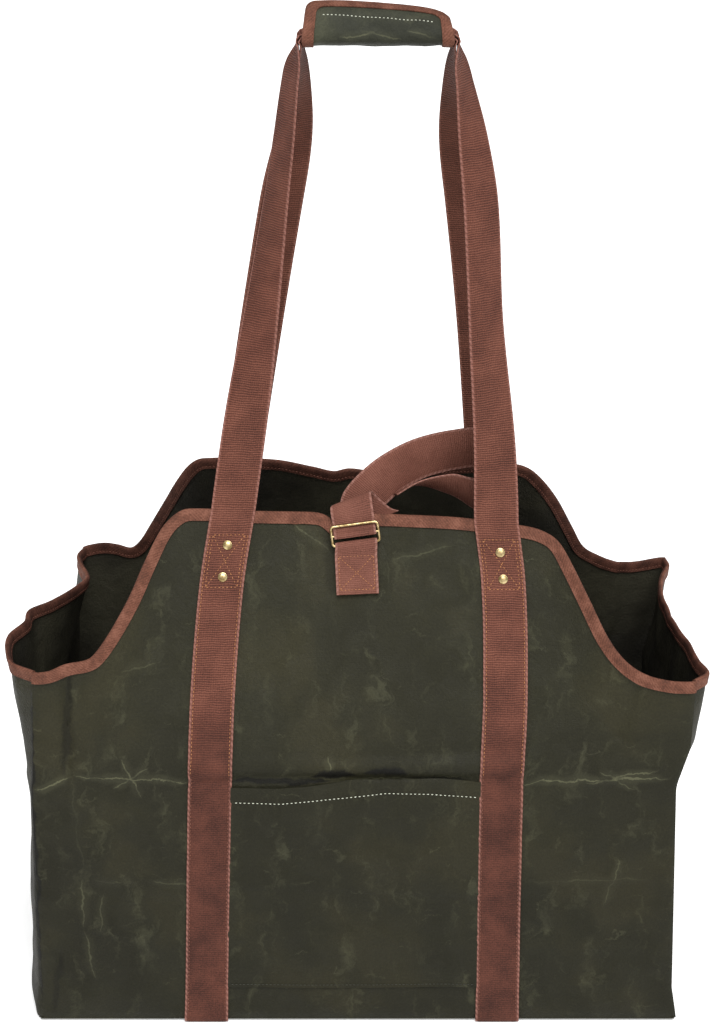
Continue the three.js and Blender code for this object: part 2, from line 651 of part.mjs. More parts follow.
// Pocket between the straps, sewn at its foot and sides and a little open at the middle of its mouth
function pocketGeometry() {
  const rows = LOW_ROWS.map((share) => share * CREASE_HEIGHT)
    .filter((height) => height > POCKET_FOOT && height < POCKET_HEIGHT);
  const stations = [POCKET_FOOT, ...rows, POCKET_HEIGHT].map((height) => {
    const left = strapAcross(FRONT, -1, height) + WEBBING_WIDTH / 2 + 2 * GAP;
    const right = strapAcross(FRONT, 1, height) - WEBBING_WIDTH / 2 - 2 * GAP;
    return [0, 0.12, 0.25, 0.4, 0.55, 0.7, 0.85, 1].map((share) => {
      const open = smooth(clamp((height / POCKET_HEIGHT - 0.55) / 0.45));
      const gape = POCKET_GAPE * Math.sin(Math.PI * share) ** 2 * open;
      return onPanel(FRONT, lerp(left, right, share), height, ON_CANVAS + CANVAS / 2 + gape);
    });
  });
  return stripGeometry(stations, CANVAS);
}

// Webbing along a line of centres, each with the direction of its width
function bandGeometry(line) {
  const stations = line.map(({ centre, width }, i) => {
    const before = line[Math.max(i - 1, 0)].centre;
    const after = line[Math.min(i + 1, line.length - 1)].centre;
    const normal = after.clone().sub(before).cross(width).normalize();
    return [-0.5, 0, 0.5].map((share) => ({
      point: centre.clone().addScaledVector(width, share * CLOSURE_WIDTH), normal: normal.clone() }));
  });
  return stripGeometry(stations, WEBBING);
}

// The buckle lies just clear of the closure strap, which passes behind its top bar and over the rim's tape
const BAR_PITCH = BUCKLE_WINDOW + BUCKLE_BAR;
const UNDER_BUCKLE = ON_CANVAS + OVER_TAPE + WEBBING / 2;
const BUCKLE_OUT = UNDER_BUCKLE + WEBBING / 2 + GAP + BUCKLE_BAR / 2;
const ROUND_BAR = BUCKLE_BAR * Math.SQRT1_2 + GAP + WEBBING / 2;

// Place near the buckle, by distance up the panel from its middle bar and out from the panel
const slopeUp = (face, across, height) => onPanel(face, across, height + 1, 0).point
  .sub(onPanel(face, across, height, 0).point).normalize();
const buckleUp = slopeUp(FRONT, TAB_SHIFT, BUCKLE_HEIGHT);
const buckleAcross = buckleUp.clone().cross(onPanel(FRONT, TAB_SHIFT, BUCKLE_HEIGHT, 0).normal);
const sewn = (height, out) => ({
  centre: onPanel(FRONT, TAB_SHIFT, height, out).point, width: buckleAcross });
function nearBuckle(up, out) {
  const { point } = onPanel(FRONT, TAB_SHIFT, BUCKLE_HEIGHT, out);
  return { centre: point.addScaledVector(buckleUp, up), width: buckleAcross };
}

// Places round a bar of the buckle, by angle in degrees: 0 is above the bar, 90 in front of it
function roundBar(bar, degrees) {
  return degrees.map((angle) => {
    const turn = THREE.MathUtils.degToRad(angle);
    return nearBuckle(bar * BAR_PITCH + ROUND_BAR * Math.cos(turn),
      BUCKLE_OUT + ROUND_BAR * Math.sin(turn));
  });
}

function tabGeometry() {
  const inner = ON_CANVAS + WEBBING / 2;
  const outer = inner + WEBBING + GAP;
  const low = lerp(TAB_FOOT, BUCKLE_HEIGHT, 0.55);
  const high = BUCKLE_HEIGHT - (BAR_PITCH + 3 * ROUND_BAR) * buckleUp.z;
  return bandGeometry([sewn(TAB_FOOT, inner), sewn(low, inner), sewn(high, inner),
    ...roundBar(-1, [-80, -45, 0, 45, 90]),
    sewn(high, outer), sewn(low, outer), sewn(TAB_FOOT, outer)]);
}

function bucklePlate() {
  const width = CLOSURE_WIDTH + 4 * GAP;
  const outline = new THREE.Shape();
  const corner = BUCKLE_BAR;
  const right = width / 2 + BUCKLE_BAR;
  const top = BAR_PITCH + BUCKLE_BAR / 2;
  outline.moveTo(-right + corner, -top);
  outline.lineTo(right - corner, -top);
  outline.quadraticCurveTo(right, -top, right, -top + corner);
  outline.lineTo(right, top - corner);
  outline.quadraticCurveTo(right, top, right - corner, top);
  outline.lineTo(-right + corner, top);
  outline.quadraticCurveTo(-right, top, -right, top - corner);
  outline.lineTo(-right, -top + corner);
  outline.quadraticCurveTo(-right, -top, -right + corner, -top);
  for (const window of [-1, 1]) {
    const middle = window * BAR_PITCH / 2;
    const hole = new THREE.Path();
    hole.moveTo(-width / 2, middle - BUCKLE_WINDOW / 2);
    hole.lineTo(-width / 2, middle + BUCKLE_WINDOW / 2);
    hole.lineTo(width / 2, middle + BUCKLE_WINDOW / 2);
    hole.lineTo(width / 2, middle - BUCKLE_WINDOW / 2);
    outline.holes.push(hole);
  }
  const plate = new THREE.ExtrudeGeometry(outline, {
    depth: BUCKLE_BAR, bevelEnabled: false, curveSegments: 3 });
  return plate.translate(0, 0, -BUCKLE_BAR / 2);
}

// Turns and moves a piece made flat in X and Y onto the front panel, its +Z pointing out
function layOnPanel(mesh, face, across, height, out) {
  const { point, normal } = onPanel(face, across, height, out);
  const sideways = slopeUp(face, across, height).cross(normal).normalize();
  const turned = new THREE.Matrix4().makeBasis(sideways, normal.clone().cross(sideways), normal);
  mesh.quaternion.setFromRotationMatrix(turned);
  mesh.position.copy(point);
}

function closurePlace(row) {
  const slope = THREE.MathUtils.degToRad(row.slope);
  const rim = panelPlace(FRONT, TAB_SHIFT, PANEL_HEIGHT);
  return {
    centre: vector(rim.x + row.right * CLOSURE_REACH, lerp(rim.y, 0, row.inward),
      rim.z + row.above * CLOSURE_WIDTH),
    width: vector(Math.sin(slope), 0, -Math.cos(slope)) };
}

function closureGeometry() {
  const start = roundBar(0, [150, 120, 90, 45, 0]);
  const behind = [0.52, 0.85, 1.4].map((share) => nearBuckle(share * BAR_PITCH,
    lerp(BUCKLE_OUT, UNDER_BUCKLE, clamp(2.6 * share - 0.7))));
  const rows = [...CLOSURE_RUN, CLOSURE_TURN, ...CLOSURE_RETURN].map(closurePlace);
  return bandGeometry([...start, ...behind, ...rows]);
}

function rivetGeometry() {
  const radius = RIVET_DIAMETER / 2;
  const profile = [[0, 0], [radius, 0], [radius, 0.4 * RIVET_HEIGHT], [0.6 * radius, 0.85 * RIVET_HEIGHT],
    [0, RIVET_HEIGHT]].map(([x, y]) => new THREE.Vector2(x, y));
  return new THREE.LatheGeometry(profile, 12).rotateX(Math.PI / 2);
}

// Pieces
const carrier = new THREE.Group();
carrier.position.set(-GRIP_SHIFT, 0, -HANDLE_HEIGHT);

function add(name, geometry, material) {
  const mesh = new THREE.Mesh(geometry, material);
  mesh.name = name;
  carrier.add(mesh);
  return mesh;
}

for (const [name, face] of [['front', FRONT], ['back', BACK]]) {
  add(`${name}_panel`, panelGeometry(face), canvas);
  add(`binding_${name}`, panelTapeGeometry(face), tape);
}
for (const side of [-1, 1]) {
  add(`${sideName(side)}_gusset`, gussetGeometry(side), canvas);
  add(`binding_${sideName(side)}`, gussetTapeGeometry(side), tape);
}
for (const [name, face] of [['front', FRONT], ['back', BACK]]) {
  add(`webbing_${name}`, webbingGeometry(face), webbing);
  for (const side of [-1, 1]) {
    RIVET_DROPS[sideName(side)].forEach((drop, i) => {
      const height = PANEL_HEIGHT - drop;
      const rivet = add(`rivet_${name}_${sideName(side)}_${i + 1}`, rivetGeometry(), brass);
      const across = strapAcross(face, side, height);
      const out = webbingOut(rimHeight(face, across + side * RIVET_DIAMETER) - height)
        + WEBBING / 2 + GAP;
      layOnPanel(rivet, face, across, height, out);
    });
  }
}
add('handle_wrap', gripGeometry(), canvas);
add('wrap_binding', gripTapeGeometry(), tape);
add('front_pocket', pocketGeometry(), canvas);
add('closure_tab', tabGeometry(), webbing);
add('closure_strap', closureGeometry(), webbing);
layOnPanel(add('tri_glide', bucklePlate(), brass), FRONT, TAB_SHIFT, BUCKLE_HEIGHT, BUCKLE_OUT);
const base = new THREE.BoxGeometry(BODY_WIDTH - 4 * CANVAS, BODY_DEPTH - 4 * GAP - 2 * CANVAS, CANVAS);
add('base_panel', base, canvas).position.z = BASE_HEIGHT + CANVAS / 2;

const model = new THREE.Group();
model.add(carrier);
export default model;
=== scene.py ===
import math

import bpy
import numpy as np
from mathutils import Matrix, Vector


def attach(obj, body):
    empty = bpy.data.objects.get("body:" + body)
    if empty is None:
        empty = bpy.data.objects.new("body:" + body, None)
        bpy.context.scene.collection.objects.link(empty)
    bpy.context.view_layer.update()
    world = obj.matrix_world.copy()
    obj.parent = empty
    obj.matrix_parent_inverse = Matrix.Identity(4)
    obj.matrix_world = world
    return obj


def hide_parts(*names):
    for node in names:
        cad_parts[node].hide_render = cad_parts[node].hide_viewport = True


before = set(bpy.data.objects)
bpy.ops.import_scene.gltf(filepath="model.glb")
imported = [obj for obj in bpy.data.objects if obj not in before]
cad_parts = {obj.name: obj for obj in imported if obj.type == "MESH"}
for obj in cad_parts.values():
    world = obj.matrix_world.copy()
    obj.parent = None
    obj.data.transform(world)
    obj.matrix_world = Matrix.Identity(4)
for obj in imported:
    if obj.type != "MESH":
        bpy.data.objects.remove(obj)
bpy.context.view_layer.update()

# Each face of the bag and each hand, as the sign of its axis
FRONT, BACK = -1, 1
LEFT, RIGHT = -1, 1

# Sizes in millimetres. Heights start at the underside of the base, and depth 0 is the body's middle.
BODY_WIDTH = 560
BODY_DEPTH = 316
CORNER_HEIGHT = 328
PANEL_HEIGHT = 446
CREASE_HEIGHT = 228
# The panels lean in above the crease: how far, from what share of their width and along what power curve
TOP_SETBACK = 88
LEAN_START = 0.55
LEAN_CURVE = 1.12
CREASE_RIDGE = 3
SEAM_ROLL = 2.2
SEAM_ROLL_WIDTH = 6
SEAM_ROLL_HEIGHT = 7
# The gussets flare above this share of the corners' height, and the left one puffs by a share of its depth
FLARE_START = 0.64
GUSSET_PUFF = 0.06
# Cloth, and the air left between two pieces of it
CANVAS = 1.5
WEBBING = 2.0
TAPE = 1.0
GAP = 0.3
CLOTH_CELL = 3.2
# Straps, each of which steps up over the tape this many tape widths below the rim
WEBBING_WIDTH = 38
STRAP_SPACING = 255
STRAP_BEND = 2.4
STEP_START = 2.35
THIN_EDGE = 3.5
LEG_CLOSING = 0.8
LEG_CUP = 1.1
# Grip, whose underside is at the handle's height
HANDLE_HEIGHT = 829
GRIP_LENGTH = 123
GRIP_HEIGHT = 38
GRIP_SHIFT = 17
GRIP_CORNER = 15
GRIP_TAPER = 0.05
GRIP_CUP = 0.13
# Pocket
POCKET_HEIGHT = 228
POCKET_FOOT = 35
POCKET_GAPE = 3.2
HEM = 13
# Closure
CLOSURE_WIDTH = 36
CLOSURE_REACH = 128
TAB_FOOT = 378
TAB_SHIFT = -3
BUCKLE_HEIGHT = 425
BUCKLE_WIRE = 2.4
BUCKLE_WINDOW = 6
# Rivets, and the foot and top of the stitched box round them
RIVET_DIAMETER = 8
RIVET_HEIGHT = 1.7
RIVET_HEIGHTS = {LEFT: (392, 417), RIGHT: (390, 411)}
BOX_HEIGHTS = {LEFT: (384, 425), RIGHT: (382, 421)}
# Binding tape and its seam's inset, and stitches
TAPE_WIDTH = 8
TAPE_SEAM = 5.8
SEAM_DIMPLE = 0.3
STITCH = 2.3
STITCH_PITCH = 3.3
THREAD = 0.75

HALF_WIDTH = BODY_WIDTH / 2
HALF_DEPTH = BODY_DEPTH / 2
FOOT = WEBBING + CANVAS + 2 * GAP
ON_CANVAS = CANVAS / 2 + GAP
OVER_TAPE = TAPE + GAP

# How far along the cloth's length each piece was cut, so that no two show the same marks
CUT_FROM = dict(gusset=400, pocket=700, base=900, grip=1300)
# Dip in the front rim beside the closure, and lip of the cloth over the pocket's mouth with a hollow under it
NOTCH = dict(across=-15, depth=11, width=11)
LIP = dict(across=-2, reach=146, fade=16, height=232, out=3.4, above=9, thick=7,
           hollow=1.6, below=1, deep=3.2)
# Swells in a gusset's cloth, the tuck up its middle and its pressed crease
GUSSET_FOLDS = dict(broad=2.2, small=0.8, tuck=3.0, tuck_width=5, crease=1.2, crease_width=4)
# A rivet's cap from its crown to its rim, as shares of its radius and height
RIVET_CAP = ((0, 1), (0.3, 0.99), (0.6, 0.9), (0.82, 0.62), (0.9, 0.48), (0.97, 0.45), (1.02, 0.28), (1, 0))
# Rim of each half panel: share of the half width, and share of the rise from the corner to the top
RIM = {
    (FRONT, LEFT): dict(
        across=(0, 0.3, 0.51, 0.55, 0.6, 0.65, 0.7, 0.75, 0.8, 0.83, 0.9, 0.95, 1),
        rise=(0.95, 0.965, 0.985, 0.96, 0.86, 0.67, 0.45, 0.27, 0.12, 0.065, 0.05, 0.01, 0)),
    (FRONT, RIGHT): dict(
        across=(0, 0.3, 0.49, 0.56, 0.61, 0.65, 0.69, 0.74, 0.79, 0.85, 0.92, 1),
        rise=(0.95, 0.925, 0.875, 0.84, 0.77, 0.61, 0.42, 0.18, 0.035, -0.04, -0.065, -0.068)),
    (BACK, LEFT): dict(
        across=(0, 0.06, 0.11, 0.18, 0.3, 0.53, 0.575, 0.625, 0.68, 0.74, 0.79, 0.83, 0.88, 0.93, 1),
        rise=(0.88, 0.9, 0.875, 0.92, 0.985, 0.995, 0.94, 0.78, 0.56, 0.32, 0.13, 0.045, 0.055, 0.055, 0.02)),
    (BACK, RIGHT): dict(
        across=(0, 0.3, 0.48, 0.53, 0.575, 0.62, 0.665, 0.7, 0.75, 0.81, 0.89, 1),
        rise=(0.88, 0.95, 0.945, 0.9, 0.78, 0.59, 0.33, 0.13, 0.02, -0.06, -0.1, -0.07)),
}
# Sideways sway of each panel as a share of the half width, by share of its height
SWAY = {"height": (0, 0.5, 0.58, 0.73, 1), FRONT: (0, -0.011, 0.012, 0.021, 0),
        BACK: (0, 0.012, 0.03, 0.06, 0.028)}
# Half width of a panel as a share of the body's, by share of the corner's height
NARROWING = dict(height=(0, 0.1, 0.7, 0.8, 1), share=(1, 0.982, 0.978, 0.993, 0.993))
# Bulge of each gusset's rim, as a share of the depth, from front to back
GUSSET_RIM = {
    "depth": (0, 0.06, 0.15, 0.27, 0.38, 0.47, 0.54, 0.66, 0.75, 0.87, 0.95, 1),
    LEFT: (0, 0.066, 0.097, 0.107, 0.08, 0.083, 0.035, -0.024, -0.044, -0.012, 0.006, 0),
    RIGHT: (0, 0.044, 0.03, 0.005, -0.017, -0.026, -0.031, -0.041, -0.036, -0.018, 0.004, 0)}
PUFF = dict(height=(0, 0.04, 0.35, 0.64, 0.8, 1), share=(0.6, 1, 0.9, 0.55, 0.2, 0))
# Middle of each strap up a panel, as shares of half the straps' spacing
STRAP_LINE = {"height": (0, 0.5, 0.67, 0.86, 1), LEFT: (-1.04, -0.985, -0.965, -0.91, -0.83),
              RIGHT: (0.96, 0.96, 0.985, 0.977, 0.917)}
# Section of the grip from its underside to its top edge
GRIP_SECTION = dict(out=(0, 0.2, 0.38, 0.53, 0.585, 0.56, 0.49, 0.4, 0.29, 0.18, 0.075),
                    up=(0.02, 0.035, 0.08, 0.17, 0.3, 0.45, 0.62, 0.78, 0.91, 0.98, 1))
# Droop of the grip's top edge along its length, as a share of its height
GRIP_SAG = dict(along=(-0.5, -0.3, 0, 0.25, 0.4, 0.5), droop=(0.1, 0.08, 0.13, 0.2, 0.28, 0.4))
# Handle legs from the rim to the grip: bow outward as a share of the webbing's width, and its turn in degrees
LEGS = {
    (FRONT, LEFT): dict(rise=(0, 0.17, 0.42, 0.67, 0.8, 0.92, 0.96, 1),
                        bow=(0, 0, -0.02, 0, 0.02, 0.06, 0.05, 0), turn=(0, 8, 38, 57, 62, 68, 72, 90)),
    (FRONT, RIGHT): dict(rise=(0, 0.17, 0.42, 0.67, 0.8, 0.92, 0.96, 1),
                         bow=(0, 0.1, 0.12, 0.22, 0.17, 0.08, 0.04, 0), turn=(0, 20, 38, 38, 48, 67, 73, 90)),
    (BACK, LEFT): dict(rise=(0, 0.35, 0.64, 0.78, 0.9, 0.96, 1),
                       bow=(0, -0.02, -0.07, -0.13, -0.14, -0.09, 0), turn=(0, 0, 6, 32, 66, 80, 90)),
    (BACK, RIGHT): dict(rise=(0, 0.35, 0.64, 0.78, 0.9, 0.96, 1),
                        bow=(0, 0.05, 0, -0.09, -0.12, -0.09, 0), turn=(0, 4, 10, 34, 66, 80, 90)),
}
# Closure strap beyond the rim: shares of its reach, of the rim's setback and of its width, and the
# degrees it slopes and leans over
CLOSURE_RUN = dict(
    right=(0.03, 0.05, 0.13, 0.26, 0.45, 0.68, 0.88, 0.98, 0.86, 0.66, 0.44, 0.27),
    inward=(0.16, 0.24, 0.34, 0.44, 0.58, 0.68, 0.68, 0.46, 0.27, 0.28, 0.32, 0.38),
    above=(-0.3, -0.02, 0.28, 0.62, 0.9, 1.05, 1.09, 0.8, 0.17, 0.4, 0.42, 0.1),
    slope=(70, 58, 46, 33, 20, 7, -2, 20, 10, 4, -8, -24),
    lean=(0, 0, 0, 0, 0, 0, 0, 4, 14, 42, 66, 71))
# Creases pressed into the cloth: ends, depth and width of the fold where it shows, slope of the cloth
# beyond it, how chalky the wax turned along it, and painted shade that darkens its deep folds and seams
# over a spread. The gussets' are placed by depth and height.
CREASES = {
    FRONT: [
        dict(start=(-280, 2), end=(-280, 334), painted_shade=0.8, spread=2.6),
        dict(start=(-278, 222), end=(-246, 236), depth=1.2, width=4, chalk=0.6),
        dict(start=(-250, 236), end=(-140, 228), depth=1.2, width=4, chalk=0.6),
        dict(start=(140, 227), end=(278, 234), depth=1.2, width=4, chalk=0.55),
        dict(start=(-100, 228), end=(100, 233), chalk=0.25),
        dict(start=(-112, 229), end=(-18, 228), painted_shade=0.85, spread=4),
        dict(start=(-42, 233), end=(2, 235), painted_shade=0.9, spread=5.5),
        dict(start=(4, 238), end=(46, 237), painted_shade=0.9, spread=5),
        dict(start=(40, 233), end=(108, 227), painted_shade=0.7, spread=3.5),
        dict(start=(-180, 137), end=(-142, 133), depth=0.5, width=4, chalk=0.25),
        dict(start=(-232, 138), end=(-205, 135), depth=0.5, width=4, chalk=0.22),
        dict(start=(150, 136), end=(262, 139), depth=0.5, width=4, chalk=0.16),
        dict(start=(-206, 252), end=(-184, 214), depth=0.9, width=4, chalk=0.5),
        dict(start=(-212, 222), end=(-180, 244), depth=0.8, width=4, chalk=0.4),
        dict(start=(196, 226), end=(262, 240), depth=0.9, width=3, chalk=0.45),
        dict(start=(208, 240), end=(246, 222), depth=0.8, width=3, chalk=0.35),
        dict(start=(-251, 332), end=(-252, 232), depth=-3.4, width=4.5, painted_shade=0.5, spread=6),
        dict(start=(-243, 330), end=(-242, 236), depth=1.6, width=4),
        dict(start=(-246, 238), end=(-238, 138), depth=1.0, width=4, tilt=-0.07, chalk=0.1),
        dict(start=(-239, 140), end=(-241, 92), depth=0.9, width=4, tilt=-0.05, chalk=0.3),
        dict(start=(-241, 94), end=(-230, 40), depth=0.8, width=4, chalk=0.28),
        dict(start=(-222, 128), end=(-226, 84), depth=0.7, width=4, chalk=0.22),
        dict(start=(-269, 6), end=(-262, 72), depth=-2.6, width=5, painted_shade=0.4, spread=5),
        dict(start=(-262, 20), end=(-240, 66), depth=1.4, width=6),
        dict(start=(218, 262), end=(232, 318), depth=-2.2, width=7),
        dict(start=(-60, 440), end=(-24, 408), depth=0.7, width=3, chalk=0.35),
        dict(start=(-24, 446), end=(-26, 372), depth=-1.6, width=6, painted_shade=0.3, spread=8),
        dict(start=(26, 404), end=(84, 418), depth=0.5, width=3, chalk=0.25),
        dict(start=(-210, 322), end=(-176, 326), depth=0.4, width=3, chalk=0.3),
        dict(start=(218, 110), end=(232, 160), depth=0.8, width=4, chalk=0.3),
        dict(start=(-28, 252), end=(-22, 236), depth=0.6, width=3, chalk=0.5),
    ],
    BACK: [
        dict(start=(-276, 229), end=(276, 227), depth=1.3, width=4, chalk=0.5),
        dict(start=(-240, 134), end=(-90, 138), depth=0.5, width=4, chalk=0.2),
        dict(start=(-240, 240), end=(-190, 214), depth=0.9, width=3, chalk=0.45),
        dict(start=(186, 216), end=(244, 242), depth=0.9, width=3, chalk=0.45),
        dict(start=(-70, 300), end=(40, 330), depth=0.7, width=4, chalk=0.25),
        dict(start=(90, 60), end=(150, 150), depth=0.8, width=4, chalk=0.25),
        dict(start=(232, 330), end=(240, 236), depth=-2.2, width=5, painted_shade=0.35, spread=6),
        dict(start=(-236, 60), end=(-226, 180), depth=1.0, width=5, tilt=-0.05, chalk=0.2),
    ],
    "grip": [
        dict(start=(-34, 1276), end=(-4, 1272), chalk=0.5),
        dict(start=(-12, 1270), end=(20, 1277), chalk=0.35),
        dict(start=(24, 1268), end=(50, 1276), chalk=0.4),
        dict(start=(-30, 1330), end=(26, 1326), chalk=0.45),
    ],
    "left": [
        dict(start=(-400, 4), end=(-400, 326), painted_shade=0.85, spread=4.5),
        dict(start=(-84, 4), end=(-84, 326), painted_shade=0.85, spread=4.5),
        dict(start=(-396, 228), end=(-88, 230), chalk=0.45),
        dict(start=(-242, 10), end=(-242, 250), chalk=0.3),
    ],
    "right": [
        dict(start=(400, 4), end=(400, 326), painted_shade=0.85, spread=4.5),
        dict(start=(716, 4), end=(716, 326), painted_shade=0.85, spread=4.5),
        dict(start=(404, 229), end=(712, 227), chalk=0.45),
        dict(start=(558, 10), end=(558, 250), chalk=0.3),
    ],
}


# Curves and noise
def column(table, key, name, at):
    """Straight lines through a table's rows."""
    return np.interp(at, table[key], table[name])


def smooth_column(table, key, name, at):
    """A smooth curve through a table's rows."""
    keys, values = np.array(table[key], float), np.array(table[name], float)
    last = len(keys) - 1
    at = np.clip(at, keys[0], keys[-1])
    i = np.clip(np.searchsorted(keys, at, side="left") - 1, 0, last - 1)
    span = keys[i + 1] - keys[i]
    share = (at - keys[i]) / span
    low, high = np.maximum(i - 1, 0), np.minimum(i + 2, last)
    m0 = (values[i + 1] - values[low]) / (keys[i + 1] - keys[low]) * span
    m1 = (values[high] - values[i]) / (keys[high] - keys[i]) * span
    s2, s3 = share**2, share**3
    return ((2 * s3 - 3 * s2 + 1) * values[i] + (s3 - 2 * s2 + share) * m0
            + (3 * s2 - 2 * s3) * values[i + 1] + (s3 - s2) * m1)


def eased(share):
    share = np.clip(share, 0, 1)
    return share * share * (3 - 2 * share)


def lerp(start, end, share):
    return start + (end - start) * share


def cloud(x, y, cell, seed):
    """Smooth noise from -1 to 1 whose lumps are about one cell across."""
    size = 64
    table = np.random.RandomState(seed).uniform(-1, 1, (size, size))
    gx, gy = np.asarray(x, float) / cell + 17.3, np.asarray(y, float) / cell + 9.7
    ix, iy = np.floor(gx).astype(int), np.floor(gy).astype(int)
    fx, fy = eased(gx - ix), eased(gy - iy)
    at = lambda a, b: table[(ix + a) % size, (iy + b) % size]
    return lerp(lerp(at(0, 0), at(1, 0), fx), lerp(at(0, 1), at(1, 1), fx), fy)


def spot(*parts):
    """Points from their across, depth and height."""
    return np.stack(np.broadcast_arrays(*[np.asarray(p, float) for p in parts]), -1)


def unit(v):
    return v / np.maximum(np.linalg.norm(v, axis=-1, keepdims=True), 1e-9)


def run_along(points):
    """Distance along a line of points, from its start to each of them."""
    return np.concatenate([[0], np.cumsum(np.linalg.norm(np.diff(points, axis=0), axis=1))])


def rounded_corners(half_wide, half_high, corner, steps):
    """Points round a rectangle with round corners, and the outward direction at each."""
    path, outward = [], []
    for x, y, start in ((1, 1, 0), (-1, 1, 90), (-1, -1, 180), (1, -1, 270)):
        for degrees in np.linspace(start, start + 90, steps):
            turn = math.radians(degrees)
            outward.append((math.cos(turn), math.sin(turn)))
            path.append((x * (half_wide - corner) + corner * math.cos(turn),
                         y * (half_high - corner) + corner * math.sin(turn)))
    return np.array(path), np.array(outward)


def crossed_box(half_wide, low, high, count):
    """Lines round a box and along both its diagonals, each as places across and heights."""
    corners = [(-half_wide, low), (half_wide, low), (half_wide, high), (-half_wide, high), (-half_wide, low),
               (half_wide, high)]
    ends = [*zip(corners[:-1], corners[1:]), (corners[3], corners[1])]
    share = np.linspace(0, 1, count)
    return [(lerp(start[0], end[0], share), lerp(start[1], end[1], share)) for start, end in ends]


def on_surface(place, u, v, out, facing):
    """Points moved out from a surface along its normal."""
    step = 0.5
    along = place(u + step, v) - place(u - step, v)
    up = place(u, v + step) - place(u, v - step)
    normal = unit(np.cross(along, up))
    normal *= np.sign(np.sum(normal * facing, -1, keepdims=True) + 1e-12)
    return place(u, v) + normal * np.asarray(out)[..., None], normal


# Panels
def rim_height(face, across):
    share = np.minimum(np.abs(across) / HALF_WIDTH, 1)
    left = smooth_column(RIM[face, LEFT], "across", "rise", share)
    right = smooth_column(RIM[face, RIGHT], "across", "rise", share)
    rise = np.where(np.asarray(across) < 0, left, right)
    height = CORNER_HEIGHT + (PANEL_HEIGHT - CORNER_HEIGHT) * rise
    if face == FRONT:
        height = height - NOTCH["depth"] * np.exp(-(((across - NOTCH["across"]) / NOTCH["width"]) ** 2))
    return height


def crease_distance(crease, across, height):
    """Distance from a crease's line, and a weight that fades towards its ends."""
    start, end = np.array(crease["start"], float), np.array(crease["end"], float)
    run = end - start
    length = np.hypot(*run)
    share = ((across - start[0]) * run[0] + (height - start[1]) * run[1]) / length**2
    wander = 2.2 * cloud(across, height, 26, 5) + 0.8 * cloud(across, height, 9, 6)
    away = ((height - start[1]) * run[0] - (across - start[0]) * run[1]) / length + wander
    fade = eased(share / 0.12) * eased((1 - share) / 0.12)
    return away, fade


def relief(face, across, height):
    """How far the canvas stands out from its smooth shape: soft swells and pressed creases."""
    seed = 20 + face
    calm = eased((HALF_WIDTH - np.abs(across)) / 22) * eased((height - FOOT) / 18)
    swell = 1.7 * cloud(across, height, 105, seed) + 0.8 * cloud(across, height, 46, seed + 3)
    small = 0.28 * cloud(across, height, 17, seed + 6)
    total = swell + small
    tilt_width = 26
    for crease in (each for each in CREASES[face] if "depth" in each):
        away, fade = crease_distance(crease, across, height)
        total = total + crease["depth"] * fade * np.exp(-((away / crease["width"]) ** 2))
        total = total + crease.get("tilt", 0) * fade * np.clip(away, 0, tilt_width)
    if face == FRONT:
        between = eased((LIP["reach"] - np.abs(across - LIP["across"])) / LIP["fade"])
        mouth = LIP["height"] + 2.5 * cloud(across, 0 * across, 60, 33)
        lip = LIP["out"] * np.exp(-(((height - mouth - LIP["above"]) / LIP["thick"]) ** 2))
        hollow = LIP["hollow"] * np.exp(-(((height - mouth + LIP["below"]) / LIP["deep"]) ** 2))
        total = total + (lip - hollow) * between
    return total * calm


def panel_place(face, across, height):
    sway = column(SWAY, "height", face, height / PANEL_HEIGHT)
    narrow = column(NARROWING, "height", "share", height / CORNER_HEIGHT)
    rise = np.clip((height - CREASE_HEIGHT) / (PANEL_HEIGHT - CREASE_HEIGHT), 0, None)
    middle = 1 - eased((np.abs(across) / HALF_WIDTH - LEAN_START) / (1 - LEAN_START))
    lean = TOP_SETBACK * rise**LEAN_CURVE * middle
    ridge = CREASE_RIDGE * np.exp(-(((height - CREASE_HEIGHT) / (4 * CREASE_RIDGE)) ** 2)) * middle
    # The sides and the foot roll back a little where they are sewn to the gussets and the base
    side_roll = SEAM_ROLL * np.clip(1 - (HALF_WIDTH - np.abs(across)) / SEAM_ROLL_WIDTH, 0, 1) ** 2
    foot_roll = SEAM_ROLL * np.clip(1 - (height - FOOT) / SEAM_ROLL_HEIGHT, 0, 1) ** 2
    depth = HALF_DEPTH - CANVAS / 2 - lean - ridge - side_roll - foot_roll + relief(face, across, height)
    return spot(across * narrow + HALF_WIDTH * sway, face * depth, height)


def on_panel(face, across, height, out):
    return on_surface(lambda u, v: panel_place(face, u, v), across, height, out, np.array([0, face, 0]))


def rim_slope(face, across):
    step = 2
    rise = rim_height(face, across + step) - rim_height(face, across - step)
    length = np.hypot(2 * step, rise)
    return 2 * step / length, rise / length


def in_from_rim(face, across, inset):
    """The place across and the height that lie an inset below the rim, square to it."""
    run, rise = rim_slope(face, across)
    return across + rise * inset, rim_height(face, across) - run * inset


def rim_stations(face, spacing):
    """Places along a panel's rim, evenly spaced along its curve."""
    fine = np.linspace(-HALF_WIDTH, HALF_WIDTH, 2000)
    length = run_along(np.stack([fine, rim_height(face, fine)], -1))
    return np.interp(np.linspace(0, length[-1], int(length[-1] / spacing)), length, fine)


# Gussets
def gusset_rim(side, depth):
    ends = [float(rim_height(face, np.array(side * HALF_WIDTH))) for face in (FRONT, BACK)]
    return lerp(ends[0], ends[1], np.clip(depth / BODY_DEPTH, 0, 1))


